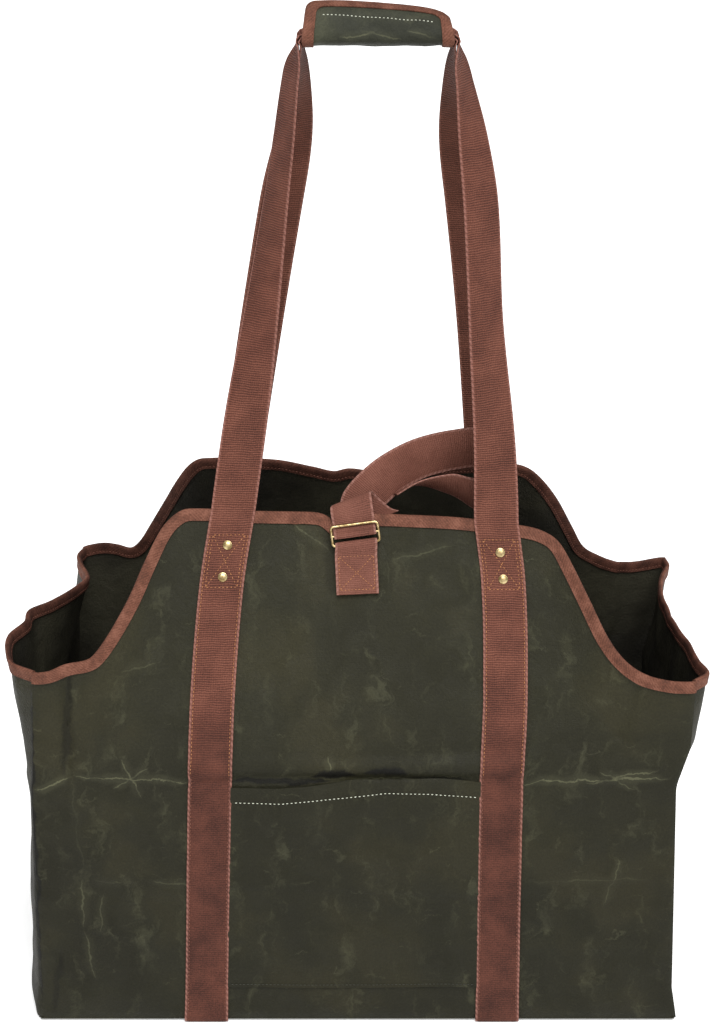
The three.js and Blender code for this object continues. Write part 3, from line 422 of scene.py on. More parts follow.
def gusset_place(side, depth, height):
    """A gusset's cloth, from the front panel's edge to the back one's, flared out towards its rim."""
    share = np.clip(depth / BODY_DEPTH, 0, 1)
    under_tape = np.clip((height - gusset_rim(side, depth) + 2 * TAPE_WIDTH) / TAPE_WIDTH, 0, 1)
    inset = CANVAS / 2 + GAP + (OVER_TAPE + GAP) * under_tape
    front = panel_place(FRONT, side * HALF_WIDTH, height)
    back = panel_place(BACK, side * HALF_WIDTH, height)
    flare = np.clip((height / CORNER_HEIGHT - FLARE_START) / (1 - FLARE_START), 0, None)
    bulge = smooth_column(GUSSET_RIM, "depth", side, share) * flare
    puff = 0
    if side == LEFT:
        up = column(PUFF, "height", "share", height / CORNER_HEIGHT)
        puff = GUSSET_PUFF * np.sqrt(np.sin(np.pi * share)) * up
    calm = eased(share / 0.1) * eased((1 - share) / 0.1) * eased((height - FOOT) / 20)
    swell = (GUSSET_FOLDS["broad"] * cloud(depth, height, 60, 40 + side)
             + GUSSET_FOLDS["small"] * cloud(depth, height, 24, 43 + side))
    off_tuck = (depth - HALF_DEPTH) / GUSSET_FOLDS["tuck_width"]
    off_crease = (height - CREASE_HEIGHT) / GUSSET_FOLDS["crease_width"]
    tuck = GUSSET_FOLDS["tuck"] * np.exp(-(off_tuck**2)) * (1 - flare)
    crease = GUSSET_FOLDS["crease"] * np.exp(-(off_crease**2))
    stand_out = BODY_DEPTH * (bulge + puff) - CANVAS / 2 + (swell - tuck + crease) * calm
    x = lerp(front[..., 0], back[..., 0], share) + side * stand_out
    return spot(x, lerp(front[..., 1] + inset, back[..., 1] - inset, share), height)


def on_gusset(side, depth, height, out):
    return on_surface(lambda u, v: gusset_place(side, u, v), depth, height, out, np.array([side, 0, 0]))


# Straps
def strap_across(face, side, height):
    """Where a strap's middle crosses a panel, measured along the cloth."""
    share = smooth_column(STRAP_LINE, "height", side, height / PANEL_HEIGHT)
    middle = panel_place(face, 0, height)[..., 0]
    wide = panel_place(face, HALF_WIDTH, height)[..., 0] - middle
    return (share * STRAP_SPACING / 2 - middle) * HALF_WIDTH / wide


def webbing_out(below):
    """How far the webbing's middle lies off the cloth, at a distance below the rim."""
    over_tape = np.clip((STEP_START * TAPE_WIDTH - below) / TAPE_WIDTH, 0, 1)
    return ON_CANVAS + WEBBING / 2 + OVER_TAPE * eased(over_tape)


ACROSS_WEBBING = np.linspace(-0.5, 0.5, 13) * WEBBING_WIDTH


def strap_on_panel(face, side, height, offsets, out=0.0):
    across = strap_across(face, side, height)[..., None] + offsets
    heights = np.broadcast_to(height[..., None], across.shape)
    lift = webbing_out(rim_height(face, across) - heights) + out
    return on_panel(face, across, heights, lift)


def strap_rise(face, side):
    """Rows of the webbing from the middle of the base up a panel and along its free leg."""
    offsets = ACROSS_WEBBING
    foot_across = float(strap_across(face, side, np.array(0.0)))
    radius = CANVAS + GAP + WEBBING / 2
    flat = WEBBING / 2
    turn_y = HALF_DEPTH + GAP + WEBBING / 2 - radius
    rows = [spot(foot_across + offsets, face * lerp(GAP / 2, turn_y, share), flat)
            for share in (0, 0.25, 0.5, 0.75, 0.95)]
    for degrees in (0, 30, 60):
        turn = math.radians(degrees)
        rows.append(spot(foot_across + offsets, face * (turn_y + radius * math.sin(turn)),
                         flat + radius * (1 - math.cos(turn))))
    top = float(rim_height(face, strap_across(face, side, np.array(float(PANEL_HEIGHT)))))
    first_row, row_spacing = 14, 5.0
    heights = np.append(np.arange(first_row, top - row_spacing + 1, row_spacing), top)
    rows.extend(strap_on_panel(face, side, heights, offsets)[0])
    return rows + strap_leg(face, side, rows[-1].mean(0))


LAYER = WEBBING + 2 * GAP


def layer_height(face):
    return HANDLE_HEIGHT + CANVAS + 2 * GAP + OVER_TAPE + WEBBING / 2 + (LAYER if face == FRONT else 0)


def layer_bend(face):
    return STRAP_BEND + (LAYER if face == FRONT else 0)


def grip_end(side):
    return GRIP_SHIFT + side * GRIP_LENGTH / 2


def strap_leg(face, side, foot):
    """Rows of the webbing from the rim to the grip, which turn until its flat sides face outward."""
    table = LEGS[face, side]
    bend = layer_bend(face)
    top = np.array([grip_end(side) + side * bend, 0, layer_height(face) - bend])
    rows = []
    for share in np.concatenate([np.arange(0.04, 0.9, 0.03), [0.92, 0.945, 0.965, 0.98, 1.0]]):
        centre = lerp(foot, top, share)
        centre[1] = lerp(top[1], foot[1], (1 - share) ** LEG_CLOSING)
        centre[0] += side * WEBBING_WIDTH * smooth_column(table, "rise", "bow", share)
        turn = math.radians(smooth_column(table, "rise", "turn", share))
        width = np.array([math.cos(turn), -face * side * math.sin(turn), 0])
        normal = np.array([side * math.sin(turn), face * math.cos(turn), 0])
        # Webbing that hangs free cups slightly across its width
        cup = LEG_CUP * math.sin(math.pi * share) * (1 - (ACROSS_WEBBING / (WEBBING_WIDTH / 2)) ** 2)
        rows.append(centre + ACROSS_WEBBING[:, None] * width + cup[:, None] * normal)
    return rows


def strap_in_grip(face):
    """Rows of the webbing through the grip, round a bend at each end."""
    cup = GRIP_CUP * WEBBING_WIDTH * (ACROSS_WEBBING / (WEBBING_WIDTH / 2)) ** 2
    bend, height = layer_bend(face), layer_height(face)

    def row(x, z, nx, nz, cupping):
        narrowed = face * ACROSS_WEBBING * (1 - 0.06 * cupping)
        return spot(x + nx * cupping * cup, narrowed, z + nz * cupping * cup)

    def arc(side, degrees):
        turn = math.radians(degrees)
        return row(grip_end(side) + side * bend * math.cos(turn), height - bend + bend * math.sin(turn),
                   side * math.cos(turn), math.sin(turn), math.sin(turn))

    left = [arc(LEFT, degrees) for degrees in (20, 40, 60, 80)]
    along = [row(x, height, 0, 1, 1) for x in np.linspace(grip_end(LEFT) + 3, grip_end(RIGHT) - 3, 12)]
    return left + along + [arc(RIGHT, degrees) for degrees in (80, 60, 40, 20)]


def resampled(rows, spacing):
    """Rows of a band at even spacing on smooth curves through the given rows, with the distance along."""
    rows = np.array(rows)
    length = run_along(rows.mean(1))
    stations = np.linspace(0, length[-1], max(int(length[-1] / spacing), 2) + 1)
    flat = rows.reshape(len(rows), -1)
    smooth = np.stack([smooth_column({"at": length, "value": flat[:, k]}, "at", "value", stations)
                       for k in range(flat.shape[1])], 1)
    return smooth.reshape(len(stations), rows.shape[1], 3), stations


# Grip
def grip_tables():
    """The grip's section by the distance round it."""
    out = np.array(GRIP_SECTION["out"]) * WEBBING_WIDTH
    up = np.array(GRIP_SECTION["up"]) * GRIP_HEIGHT
    around = np.cumsum(np.hypot(np.diff(out, prepend=0), np.diff(up, prepend=up[0])))
    return {"round": around, "out": out, "up": up}


GRIP = grip_tables()
GRIP_HALF_ROUND = float(GRIP["round"][-1])


def grip_place(along, around):
    side = np.sign(around)
    out = side * smooth_column(GRIP, "round", "out", np.abs(around))
    up = smooth_column(GRIP, "round", "up", np.abs(around))
    rise = eased(up / GRIP_HEIGHT)
    droop = 1 - rise * smooth_column(GRIP_SAG, "along", "droop", along / GRIP_LENGTH)
    calm = eased((GRIP_HALF_ROUND - 8 - np.abs(around)) / 12)
    calm = calm * eased((GRIP_LENGTH / 2 - 4 - np.abs(along)) / 10)
    crumple = (0.7 * cloud(along, around, 14, 60) + 0.35 * cloud(along, around, 6, 61)) * calm
    centre = GRIP_HEIGHT / 3
    lean = unit(spot(out, up - centre))
    return spot(GRIP_SHIFT + along * (1 - GRIP_TAPER * rise), out + lean[..., 0] * crumple,
                HANDLE_HEIGHT + up * droop + lean[..., 1] * crumple)


def on_grip(along, around, out):
    centre = grip_place(along, np.zeros_like(around)) + np.array([0, 0, GRIP_HEIGHT / 3])
    facing = grip_place(along, around) - centre
    return on_surface(grip_place, along, around, out, facing)


# Meshes
def to_frame(points):
    """Metres from the middle of the grip's underside."""
    return (np.asarray(points) - np.array([GRIP_SHIFT, 0, HANDLE_HEIGHT])) * 0.001


def finished(mesh, name, node, materials, smooth_angle=50):
    mesh.validate()
    mesh.update()
    for polygon in mesh.polygons:
        polygon.use_smooth = True
    mesh.set_sharp_from_angle(angle=math.radians(smooth_angle))
    piece = bpy.data.objects.new(name, mesh)
    bpy.context.scene.collection.objects.link(piece)
    for material in materials:
        mesh.materials.append(material)
    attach(piece, "root")
    if node:
        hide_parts(*([node] if isinstance(node, str) else node))
    return piece


def make_mesh(name, points, faces, uvs=None, material_index=None):
    mesh = bpy.data.meshes.new(name)
    mesh.from_pydata(to_frame(points).tolist(), [], [tuple(f) for f in faces])
    if uvs is not None:
        layer = mesh.uv_layers.new(name="cloth")
        corner = np.zeros(len(mesh.loops), np.int32)
        mesh.loops.foreach_get("vertex_index", corner)
        layer.data.foreach_set("uv", (uvs[corner] * 0.001).astype(np.float32).ravel())
    if material_index is not None:
        mesh.polygons.foreach_set("material_index", material_index)
    return mesh


def grid_normals(grid, looped=False):
    if looped:
        along = np.roll(grid, -1, 0) - np.roll(grid, 1, 0)
    else:
        along = np.gradient(grid, axis=0)
    return unit(np.cross(along, np.gradient(grid, axis=1)))


def sheet(name, node, materials, grid, uv, thickness, outward, looped=False, second_from=None):
    """A closed sheet of cloth: `grid` is its middle surface, and `outward` is a direction on its outer side.
    The second material is for its inner side, and for its outer side from a column on."""
    rows, cols = grid.shape[:2]
    normals = grid_normals(grid, looped)
    middle = (rows // 2, cols // 2)
    if np.dot(normals[middle], outward) < 0:
        normals = -normals
    half = (np.broadcast_to(np.asarray(thickness, float), (rows, cols)) / 2)[..., None]
    points = np.concatenate([(grid + normals * half).reshape(-1, 3), (grid - normals * half).reshape(-1, 3)])
    number = np.arange(rows * cols).reshape(rows, cols)
    if looped:
        number = np.concatenate([number, number[:1]])
    inner = number + rows * cols
    a, b, c, d = number[:-1, :-1], number[1:, :-1], number[1:, 1:], number[:-1, 1:]
    outer_faces = np.stack([a, b, c, d], -1).reshape(-1, 4)
    a, b, c, d = inner[:-1, :-1], inner[:-1, 1:], inner[1:, 1:], inner[1:, :-1]
    inner_faces = np.stack([a, b, c, d], -1).reshape(-1, 4)
    edges = [(number[:, 0][::-1], inner[:, 0][::-1]), (number[:, -1], inner[:, -1])]
    if not looped:
        edges += [(number[0], inner[0]), (number[-1][::-1], inner[-1][::-1])]
    rims = [np.stack([o[:-1], o[1:], i[1:], i[:-1]], -1)[:, ::-1] for o, i in edges]
    faces = np.concatenate([outer_faces, inner_faces, *rims])
    side_index = np.zeros(len(faces), np.int32)
    if len(materials) > 1:
        side_index[len(outer_faces):len(outer_faces) + len(inner_faces)] = 1
    if second_from:
        columns = np.tile(np.arange(cols - 1), len(number) - 1)
        side_index[:len(outer_faces)] = columns >= second_from
    p, q, r, s = (points[faces[:, k]] for k in range(4))
    volume = np.sum(p * (np.cross(q, r) + np.cross(r, s)))
    if volume < 0:
        faces = faces[:, ::-1]
    uvs = np.concatenate([uv.reshape(-1, 2)] * 2)
    mesh = make_mesh(name, points, faces.tolist(), uvs, side_index)
    return finished(mesh, name, node, materials)


def tube_faces(rings, sides, base=0, looped=False):
    """Faces round a tube of rings of points, with its two ends closed unless it is looped."""
    faces = []
    for i in range(rings if looped else rings - 1):
        for j in range(sides):
            ring, after = base + i * sides, base + (i + 1) % rings * sides
            faces.append((ring + j, ring + (j + 1) % sides, after + (j + 1) % sides, after + j))
    if not looped:
        faces.append(tuple(base + j for j in reversed(range(sides))))
        faces.append(tuple(base + (rings - 1) * sides + j for j in range(sides)))
    return faces


def stitch_rows(name, material, rows, length=STITCH, pitch=STITCH_PITCH, thread=THREAD):
    """Rows of stitches joined as one mesh. Each row is (points, normals) along the seam."""
    ring = 5
    shares = np.array([0, 0.22, 0.78, 1.0])
    girth = np.array([0.35, 1, 1, 0.35])
    lift = np.array([-0.5, 0.3, 0.3, -0.5]) * thread
    angles = np.arange(ring) * 2 * np.pi / ring
    points, faces = [], []
    for line, normals in rows:
        line, normals = np.asarray(line), np.asarray(normals)
        run = run_along(line)
        count = max(int(run[-1] / pitch), 1)
        starts = (np.arange(count) + 0.5) * run[-1] / count - length / 2
        pick = lambda values, at: np.stack([np.interp(at, run, values[:, k]) for k in range(3)], -1)
        for start in starts:
            a, b = pick(line, start), pick(line, start + length)
            normal = unit(pick(normals, start + length / 2))
            across = unit(np.cross(b - a, normal))
            base = len(points) * ring * len(shares)
            body = []
            for share, wide, high in zip(shares, girth, lift):
                centre = lerp(a, b, share) + normal * high
                body.append(centre + thread / 2 * wide * (np.cos(angles)[:, None] * across
                                                          + np.sin(angles)[:, None] * normal))
            points.append(np.concatenate(body))
            faces += tube_faces(len(shares), ring, base)
    mesh = make_mesh(name, np.concatenate(points), faces)
    return finished(mesh, name, None, [material], 70)


def round_wire(path, radius, sides=12, closed=True):
    """Points and faces of a round wire along a path."""
    path = np.asarray(path, float)
    count = len(path)
    ahead = unit(np.roll(path, -1, 0) - np.roll(path, 1, 0)) if closed else unit(np.gradient(path, axis=0))
    flat = unit(np.cross(path[1] - path[0], path[count // 2] - path[0]))
    normal = unit(np.cross(ahead, np.broadcast_to(flat, ahead.shape)))
    across = np.cross(ahead, normal)
    angles = np.arange(sides) * 2 * np.pi / sides
    points = path[:, None] + radius * (np.cos(angles)[None, :, None] * normal[:, None]
                                       + np.sin(angles)[None, :, None] * across[:, None])
    return points.reshape(-1, 3), [face[::-1] for face in tube_faces(count, sides, looped=closed)]


# Materials
def linear(hex_colour):
    """An sRGB hex value as the linear colour that a shader takes."""
    parts = [int(hex_colour[k:k + 2], 16) / 255 for k in (1, 3, 5)]
    return (*[p / 12.92 if p <= 0.04045 else ((p + 0.055) / 1.055) ** 2.4 for p in parts], 1.0)


def add_node(tree, kind, inputs=None, ramp=None, output=0, **settings):
    """Adds a shader node with its settings and links, and gives one of its outputs."""
    made = tree.nodes.new("ShaderNode" + kind)
    for name, value in settings.items():
        setattr(made, name, value)
    if ramp:
        elements = made.color_ramp.elements
        while len(elements) < len(ramp):
            elements.new(0.5)
        for element, (position, colour) in zip(elements, ramp):
            element.position, element.color = position, linear(colour)
    for name, value in (inputs or {}).items():
        if isinstance(value, bpy.types.NodeSocket):
            tree.links.new(value, made.inputs[name])
        else:
            made.inputs[name].default_value = value
    return made.outputs[output] if made.outputs else None


def bands(spacing_mm):
    """The scale of a wave texture whose bands are this far apart."""
    return math.pi / 10 / (spacing_mm * 0.001)


def new_material(name):
    material = bpy.data.materials.new(name)
    material.use_nodes = True
    material.node_tree.nodes.clear()
    return material, material.node_tree


def close_material(tree, **inputs):
    sockets = {name.replace("_", " "): value for name, value in inputs.items()}
    shader = add_node(tree, "BsdfPrincipled", sockets)
    add_node(tree, "OutputMaterial", {"Surface": shader})


def crease_mask(tree, place, crease, spread_mm):
    """1 along a crease's line and 0 beyond a lens about it that is as wide as the spread on each side."""
    start, end = (np.array(crease[name]) * 0.001 for name in ("start", "end"))
    length = float(np.linalg.norm(end - start))
    ahead = (end - start) / length
    beside = np.array([-ahead[1], ahead[0]])
    across, along = (add_node(tree, "VectorMath", {0: place, 1: (*way, 0)}, operation="DOT_PRODUCT",
                              output="Value") for way in (beside, ahead))
    away = add_node(tree, "Math", {0: across, 1: float(start @ beside)}, operation="SUBTRACT")
    off_middle = add_node(tree, "Math", {0: along, 1: float((start + end) @ ahead / 2)}, operation="SUBTRACT")
    away = add_node(tree, "Math", {0: away}, operation="ABSOLUTE")
    away = add_node(tree, "Math", {0: away, 1: 1000 / spread_mm}, operation="MULTIPLY")
    share = add_node(tree, "Math", {0: off_middle, 1: 2 / length}, operation="MULTIPLY")
    share = add_node(tree, "Math", {0: share, 1: share}, operation="MULTIPLY")
    lens = add_node(tree, "Math", {0: share, 1: share, 2: away}, operation="MULTIPLY_ADD")
    return add_node(tree, "MapRange", {"Value": lens, "From Min": 1.0, "From Max": 0.3},
                    interpolation_type="SMOOTHSTEP")


def mottled_ground(tree, flat, grain, tones):
    """The cloth's own colour in soft patches, speckled by its grain, with painted shade that makes it a
    little darker low down.
    """
    broad = add_node(tree, "TexNoise", {"Vector": flat, "Scale": 1000 / 95, "Detail": 7.0, "Roughness": 0.56},
                     noise_dimensions="2D")
    colour = add_node(tree, "ValToRGB", {"Fac": broad}, ramp=[
        (0.36, tones[0]), (0.5, tones[1]), (0.64, tones[2])])
    speckle = add_node(tree, "MapRange", {"Value": grain, "From Min": 0.3, "From Max": 0.7, "To Min": 0.84,
                                          "To Max": 1.14})
    # Painted shade: darker on the upright cloth low down, under the light from above, and a little lighter
    # where it leans back higher up
    up = add_node(tree, "SeparateXYZ", {"Vector": flat}, output="Y")
    up = add_node(tree, "MapRange", {"Value": up, "From Min": 0.1, "From Max": 0.34, "To Min": 0.84,
                                     "To Max": 1.1}, interpolation_type="SMOOTHSTEP")
    speckle = add_node(tree, "Math", {0: speckle, 1: up}, operation="MULTIPLY")
    speckle = add_node(tree, "CombineColor", {"Red": speckle, "Green": speckle, "Blue": speckle})
    return add_node(tree, "MixRGB", {"Fac": 1.0, "Color1": colour, "Color2": speckle}, blend_type="MULTIPLY")


def rubbed_wax(tree, place):
    """Where the wax turned pale: rubbed places drawn out up and down the cloth, and short level scratches."""
    drawn = add_node(tree, "VectorMath", {0: place, 1: (1.0, 0.38, 0)}, operation="MULTIPLY")
    rub = add_node(tree, "TexNoise", {"Vector": drawn, "Scale": 1000 / 20, "Detail": 8.0, "Roughness": 0.72},
                   noise_dimensions="2D")
    rub = add_node(tree, "MapRange", {"Value": rub, "From Min": 0.52, "From Max": 0.76, "To Max": 0.13},
                   interpolation_type="SMOOTHSTEP")
    level = add_node(tree, "VectorMath", {0: place, 1: (0.12, 1.0, 0)}, operation="MULTIPLY")
    scratch = add_node(tree, "TexNoise", {"Vector": level, "Scale": 1000 / 3.2, "Detail": 3.0},
                       noise_dimensions="2D")
    scratch = add_node(tree, "MapRange", {"Value": scratch, "From Min": 0.68, "From Max": 0.78,
                                          "To Max": 0.09}, interpolation_type="SMOOTHSTEP")
    return add_node(tree, "Math", {0: rub, 1: scratch}, operation="MAXIMUM")


def with_creases(tree, fold, creases, chalk):
    """The pale wax with each crease's thin line and faint bloom added, and the painted shade of the deep
    folds and seams.
    """
    painted_shade = None
    for crease in creases:
        if "chalk" in crease:
            line = add_node(tree, "Math", {0: crease_mask(tree, fold, crease, 1.1),
                                           1: 0.62 * crease["chalk"]}, operation="MULTIPLY")
            bloom = add_node(tree, "Math", {0: crease_mask(tree, fold, crease, 7), 1: 0.13 * crease["chalk"]},
                             operation="MULTIPLY")
            line = add_node(tree, "Math", {0: line, 1: bloom}, operation="MAXIMUM")
            chalk = add_node(tree, "Math", {0: chalk, 1: line}, operation="MAXIMUM")
        if "painted_shade" in crease:
            shade = add_node(tree, "Math", {0: crease_mask(tree, fold, crease, crease["spread"]),
                                            1: crease["painted_shade"]}, operation="MULTIPLY")
            painted_shade = shade if painted_shade is None else add_node(tree, "Math", {0: painted_shade, 1: shade}, operation="MAXIMUM")
    return chalk, painted_shade


def waxed_canvas(name, creases, tones, chalk_tone="#7a7a5e"):
    """Waxed cotton canvas: deep olive to near black, mottled and slightly slick, pale where the wax was
    rubbed or bent, and with painted shade in its deep folds and seams and low down.
    """
    material, tree = new_material(name)
    flat = add_node(tree, "UVMap", uv_map="cloth")
    # Marks wander a few millimetres off their lines
    push = add_node(tree, "TexNoise", {"Vector": flat, "Scale": 1000 / 24, "Detail": 5.0, "Roughness": 0.6},
                    output="Color", noise_dimensions="2D", normalize=False)
    place = add_node(tree, "VectorMath", {0: push, 1: (0.007, 0.007, 0), 2: flat}, operation="MULTIPLY_ADD")
    fold = add_node(tree, "VectorMath", {0: push, 1: (0.0024, 0.0024, 0), 2: flat}, operation="MULTIPLY_ADD")
    patch = add_node(tree, "TexNoise", {"Vector": place, "Scale": 1000 / 26, "Detail": 6.0,
                                        "Roughness": 0.66}, noise_dimensions="2D")
    grain = add_node(tree, "TexNoise", {"Vector": flat, "Scale": 1000 / 1.9, "Detail": 2.0, "Roughness": 0.7},
                     noise_dimensions="2D")
    chalk, painted_shade = with_creases(tree, fold, creases, rubbed_wax(tree, place))
    broken = add_node(tree, "MapRange", {"Value": patch, "From Min": 0.34, "From Max": 0.56, "To Min": 0.35},
                      interpolation_type="SMOOTHSTEP")
    chalk = add_node(tree, "Math", {0: chalk, 1: broken}, operation="MULTIPLY")
    colour = mottled_ground(tree, flat, grain, tones)
    colour = add_node(tree, "MixRGB", {"Fac": chalk, "Color1": colour, "Color2": linear(chalk_tone)})
    # Painted shade: the deep folds and seams are mixed towards near black
    if painted_shade is not None:
        colour = add_node(tree, "MixRGB", {"Fac": painted_shade, "Color1": colour, "Color2": linear("#0b0a08")})
    # Plain weave, drawn 1.7 mm apart because the real 0.6 mm is too fine to show
    warp, weft = (add_node(tree, "TexWave", {"Vector": flat, "Scale": bands(1.7)}, bands_direction=way)
                  for way in ("X", "Y"))
    weave = add_node(tree, "Math", {0: warp, 1: weft}, operation="MULTIPLY")
    weave = add_node(tree, "Math", {0: weave, 1: 0.1, 2: grain}, operation="MULTIPLY_ADD")
    height = add_node(tree, "Math", {0: patch, 1: 3.5, 2: weave}, operation="MULTIPLY_ADD")
    bump = add_node(tree, "Bump", {"Height": height, "Strength": 0.5, "Distance": 0.001})
    slick = add_node(tree, "MapRange", {"Value": patch, "From Min": 0.3, "From Max": 0.7, "To Min": 0.52,
                                        "To Max": 0.7})
    close_material(tree, Base_Color=colour, Roughness=slick, Normal=bump, Specular_IOR_Level=0.15)
    return material


def ribbed_webbing(name, tones, half_width, rib=2.0, contrast=0.34):
    """Woven webbing: crosswise ribs, smoother low on the carrier and darkened there by painted shade, with a
    pale corded edge.
    """
    material, tree = new_material(name)
    flat = add_node(tree, "UVMap", uv_map="cloth")
    sway = add_node(tree, "TexNoise", {"Vector": flat, "Scale": 1000 / 13, "Detail": 3.0}, output="Color",
                    noise_dimensions="2D", normalize=False)
    place = add_node(tree, "VectorMath", {0: sway, 1: (0.0003, 0.0006, 0), 2: flat}, operation="MULTIPLY_ADD")
    # Ribs and warp ends are drawn wider than the real 1.2 mm, which is too fine to show
    weft = add_node(tree, "TexWave", {"Vector": place, "Scale": bands(rib)}, bands_direction="Y")
    warp = add_node(tree, "TexWave", {"Vector": place, "Scale": bands(1.9)}, bands_direction="X")
    worn = add_node(tree, "TexNoise", {"Vector": flat, "Scale": 1000 / 32, "Detail": 5.0, "Roughness": 0.6},
                    noise_dimensions="2D")
    fuzz = add_node(tree, "TexNoise", {"Vector": flat, "Scale": 1000 / 1.5, "Detail": 2.0},
                    noise_dimensions="2D")
    up = add_node(tree, "SeparateXYZ", {"Vector": add_node(tree, "TexCoord", output="Object")}, output="Z")
    crisp_and_lit = add_node(tree, "MapRange", {"Value": up, "From Min": -0.605, "From Max": -0.5, "To Min": 0.3},
                     interpolation_type="SMOOTHSTEP")
    check = add_node(tree, "Math", {0: warp, 1: 0.25, 2: weft}, operation="MULTIPLY_ADD")
    check = add_node(tree, "Math", {0: check, 1: 0.62}, operation="SUBTRACT")
    check = add_node(tree, "Math", {0: check, 1: crisp_and_lit}, operation="MULTIPLY")
    worn = add_node(tree, "MapRange", {"Value": worn, "To Min": 0.26, "To Max": 0.76})
    tone = add_node(tree, "Math", {0: check, 1: contrast, 2: worn}, operation="MULTIPLY_ADD")
    fine = add_node(tree, "Math", {0: fuzz, 1: 0.5}, operation="SUBTRACT")
    tone = add_node(tree, "Math", {0: fine, 1: 0.35, 2: tone}, operation="MULTIPLY_ADD")
    # Painted shade: below the crease, where the body stands upright under light from above, the webbing is
    # darkened
    low = add_node(tree, "Math", {0: crisp_and_lit, 1: 1.0}, operation="SUBTRACT")
    tone = add_node(tree, "Math", {0: low, 1: 0.26, 2: tone}, operation="MULTIPLY_ADD")
    colour = add_node(tree, "ValToRGB", {"Fac": tone}, ramp=[
        (0.2, tones[0]), (0.52, tones[1]), (0.85, tones[2])])
    across = add_node(tree, "SeparateXYZ", {"Vector": flat}, output="X")
    across = add_node(tree, "Math", {0: across}, operation="ABSOLUTE")
    edge = add_node(tree, "MapRange", {"Value": across, "From Min": (half_width - 2.6) * 0.001,
                                       "From Max": (half_width - 1.0) * 0.001, "To Max": 0.8},
                    interpolation_type="SMOOTHSTEP")
    cord = add_node(tree, "TexWave", {"Vector": place, "Scale": bands(2.6)},
                    bands_direction="DIAGONAL")
    cord = add_node(tree, "MapRange", {"Value": cord, "To Min": 0.35})
    edge = add_node(tree, "Math", {0: edge, 1: cord}, operation="MULTIPLY")
    colour = add_node(tree, "MixRGB", {"Fac": edge, "Color1": colour, "Color2": linear(tones[3])})
    height = add_node(tree, "Math", {0: check, 1: 1.0, 2: edge}, operation="MULTIPLY_ADD")
    bump = add_node(tree, "Bump", {"Height": height, "Strength": 0.6, "Distance": 0.0006})
    close_material(tree, Base_Color=colour, Roughness=0.75, Normal=bump, Specular_IOR_Level=0.2)
    return material


def twill_tape(name, tones):
    """Twill binding tape: fine slanting wales, worn paler in places."""
    material, tree = new_material(name)
    flat = add_node(tree, "UVMap", uv_map="cloth")
    # Wales are drawn 1.5 mm apart because the real 0.7 mm is too fine to show
    wales = add_node(tree, "TexWave", {"Vector": flat, "Scale": bands(1.5), "Distortion": 1.2,
                                       "Detail": 2.0, "Detail Scale": 3.0}, bands_direction="DIAGONAL")
    worn = add_node(tree, "TexNoise", {"Vector": flat, "Scale": 1000 / 14, "Detail": 6.0, "Roughness": 0.66},
                    noise_dimensions="2D")
    fuzz = add_node(tree, "TexNoise", {"Vector": flat, "Scale": 1000 / 1.3, "Detail": 3.0},
                    noise_dimensions="2D")
    tone = add_node(tree, "Math", {0: wales, 1: 0.12, 2: worn}, operation="MULTIPLY_ADD")
    tone = add_node(tree, "Math", {0: fuzz, 1: 0.5, 2: tone}, operation="MULTIPLY_ADD")
    colour = add_node(tree, "ValToRGB", {"Fac": tone}, ramp=[
        (0.58, tones[0]), (0.82, tones[1]), (1.0, tones[2])])
    height = add_node(tree, "Math", {0: wales, 1: 0.4, 2: tone}, operation="MULTIPLY_ADD")
    bump = add_node(tree, "Bump", {"Height": height, "Strength": 0.5, "Distance": 0.0005})
    close_material(tree, Base_Color=colour, Roughness=0.8, Normal=bump, Specular_IOR_Level=0.2)
    return material


def sewing_thread(name, tones):
    """Bonded polyester thread: two twisted plies, slightly shiny."""
    material, tree = new_material(name)
    place = add_node(tree, "TexCoord", output="Object")
    plies = add_node(tree, "TexNoise", {"Vector": place, "Scale": 900.0, "Detail": 1.0})
    colour = add_node(tree, "ValToRGB", {"Fac": plies}, ramp=[(0.35, tones[0]), (0.65, tones[1])])
    bump = add_node(tree, "Bump", {"Height": plies, "Strength": 0.3, "Distance": 0.0002})
    close_material(tree, Base_Color=colour, Roughness=0.55, Normal=bump, Specular_IOR_Level=0.3)
    return material


def antique_brass(name, tones):
    """Antique brass plate over steel wire: rubbed bright and browner in patches."""
    material, tree = new_material(name)
    place = add_node(tree, "TexCoord", output="Object")
    tarnish = add_node(tree, "TexNoise", {"Vector": place, "Scale": 260.0, "Detail": 5.0})
    colour = add_node(tree, "ValToRGB", {"Fac": tarnish}, ramp=[(0.35, tones[0]), (0.6, tones[1])])
    bump = add_node(tree, "Bump", {"Height": tarnish, "Strength": 0.15, "Distance": 0.0002})
    dulled = add_node(tree, "MapRange", {"Value": tarnish, "From Min": 0.3, "From Max": 0.7, "To Min": 0.45,
                                         "To Max": 0.28})
    close_material(tree, Base_Color=colour, Metallic=1.0, Roughness=dulled, Normal=bump)
    return material


OLIVE = ("#1f1e13", "#222115", "#282618")
canvas_of = {
    FRONT: waxed_canvas("waxed_canvas_front", CREASES[FRONT], OLIVE),
    BACK: waxed_canvas("waxed_canvas_back", CREASES[BACK], OLIVE),
}
gusset_canvas = {
    LEFT: waxed_canvas("waxed_canvas_left", CREASES["left"], OLIVE),
    RIGHT: waxed_canvas("waxed_canvas_right", CREASES["right"], OLIVE),
}
waxed_plain = waxed_canvas("waxed_canvas", [], OLIVE)
waxed_grip = waxed_canvas("waxed_canvas_grip", CREASES["grip"], ("#272820", "#2f3026", "#3a3b2e"))
canvas_inside = waxed_canvas("waxed_canvas_inside", [], ("#1e1c17", "#27251d", "#302e24"), "#45443a")
webbing_brown = ribbed_webbing("brown_webbing", ("#331a13", "#5a3327", "#774a3b", "#8e6257"),
                               WEBBING_WIDTH / 2)
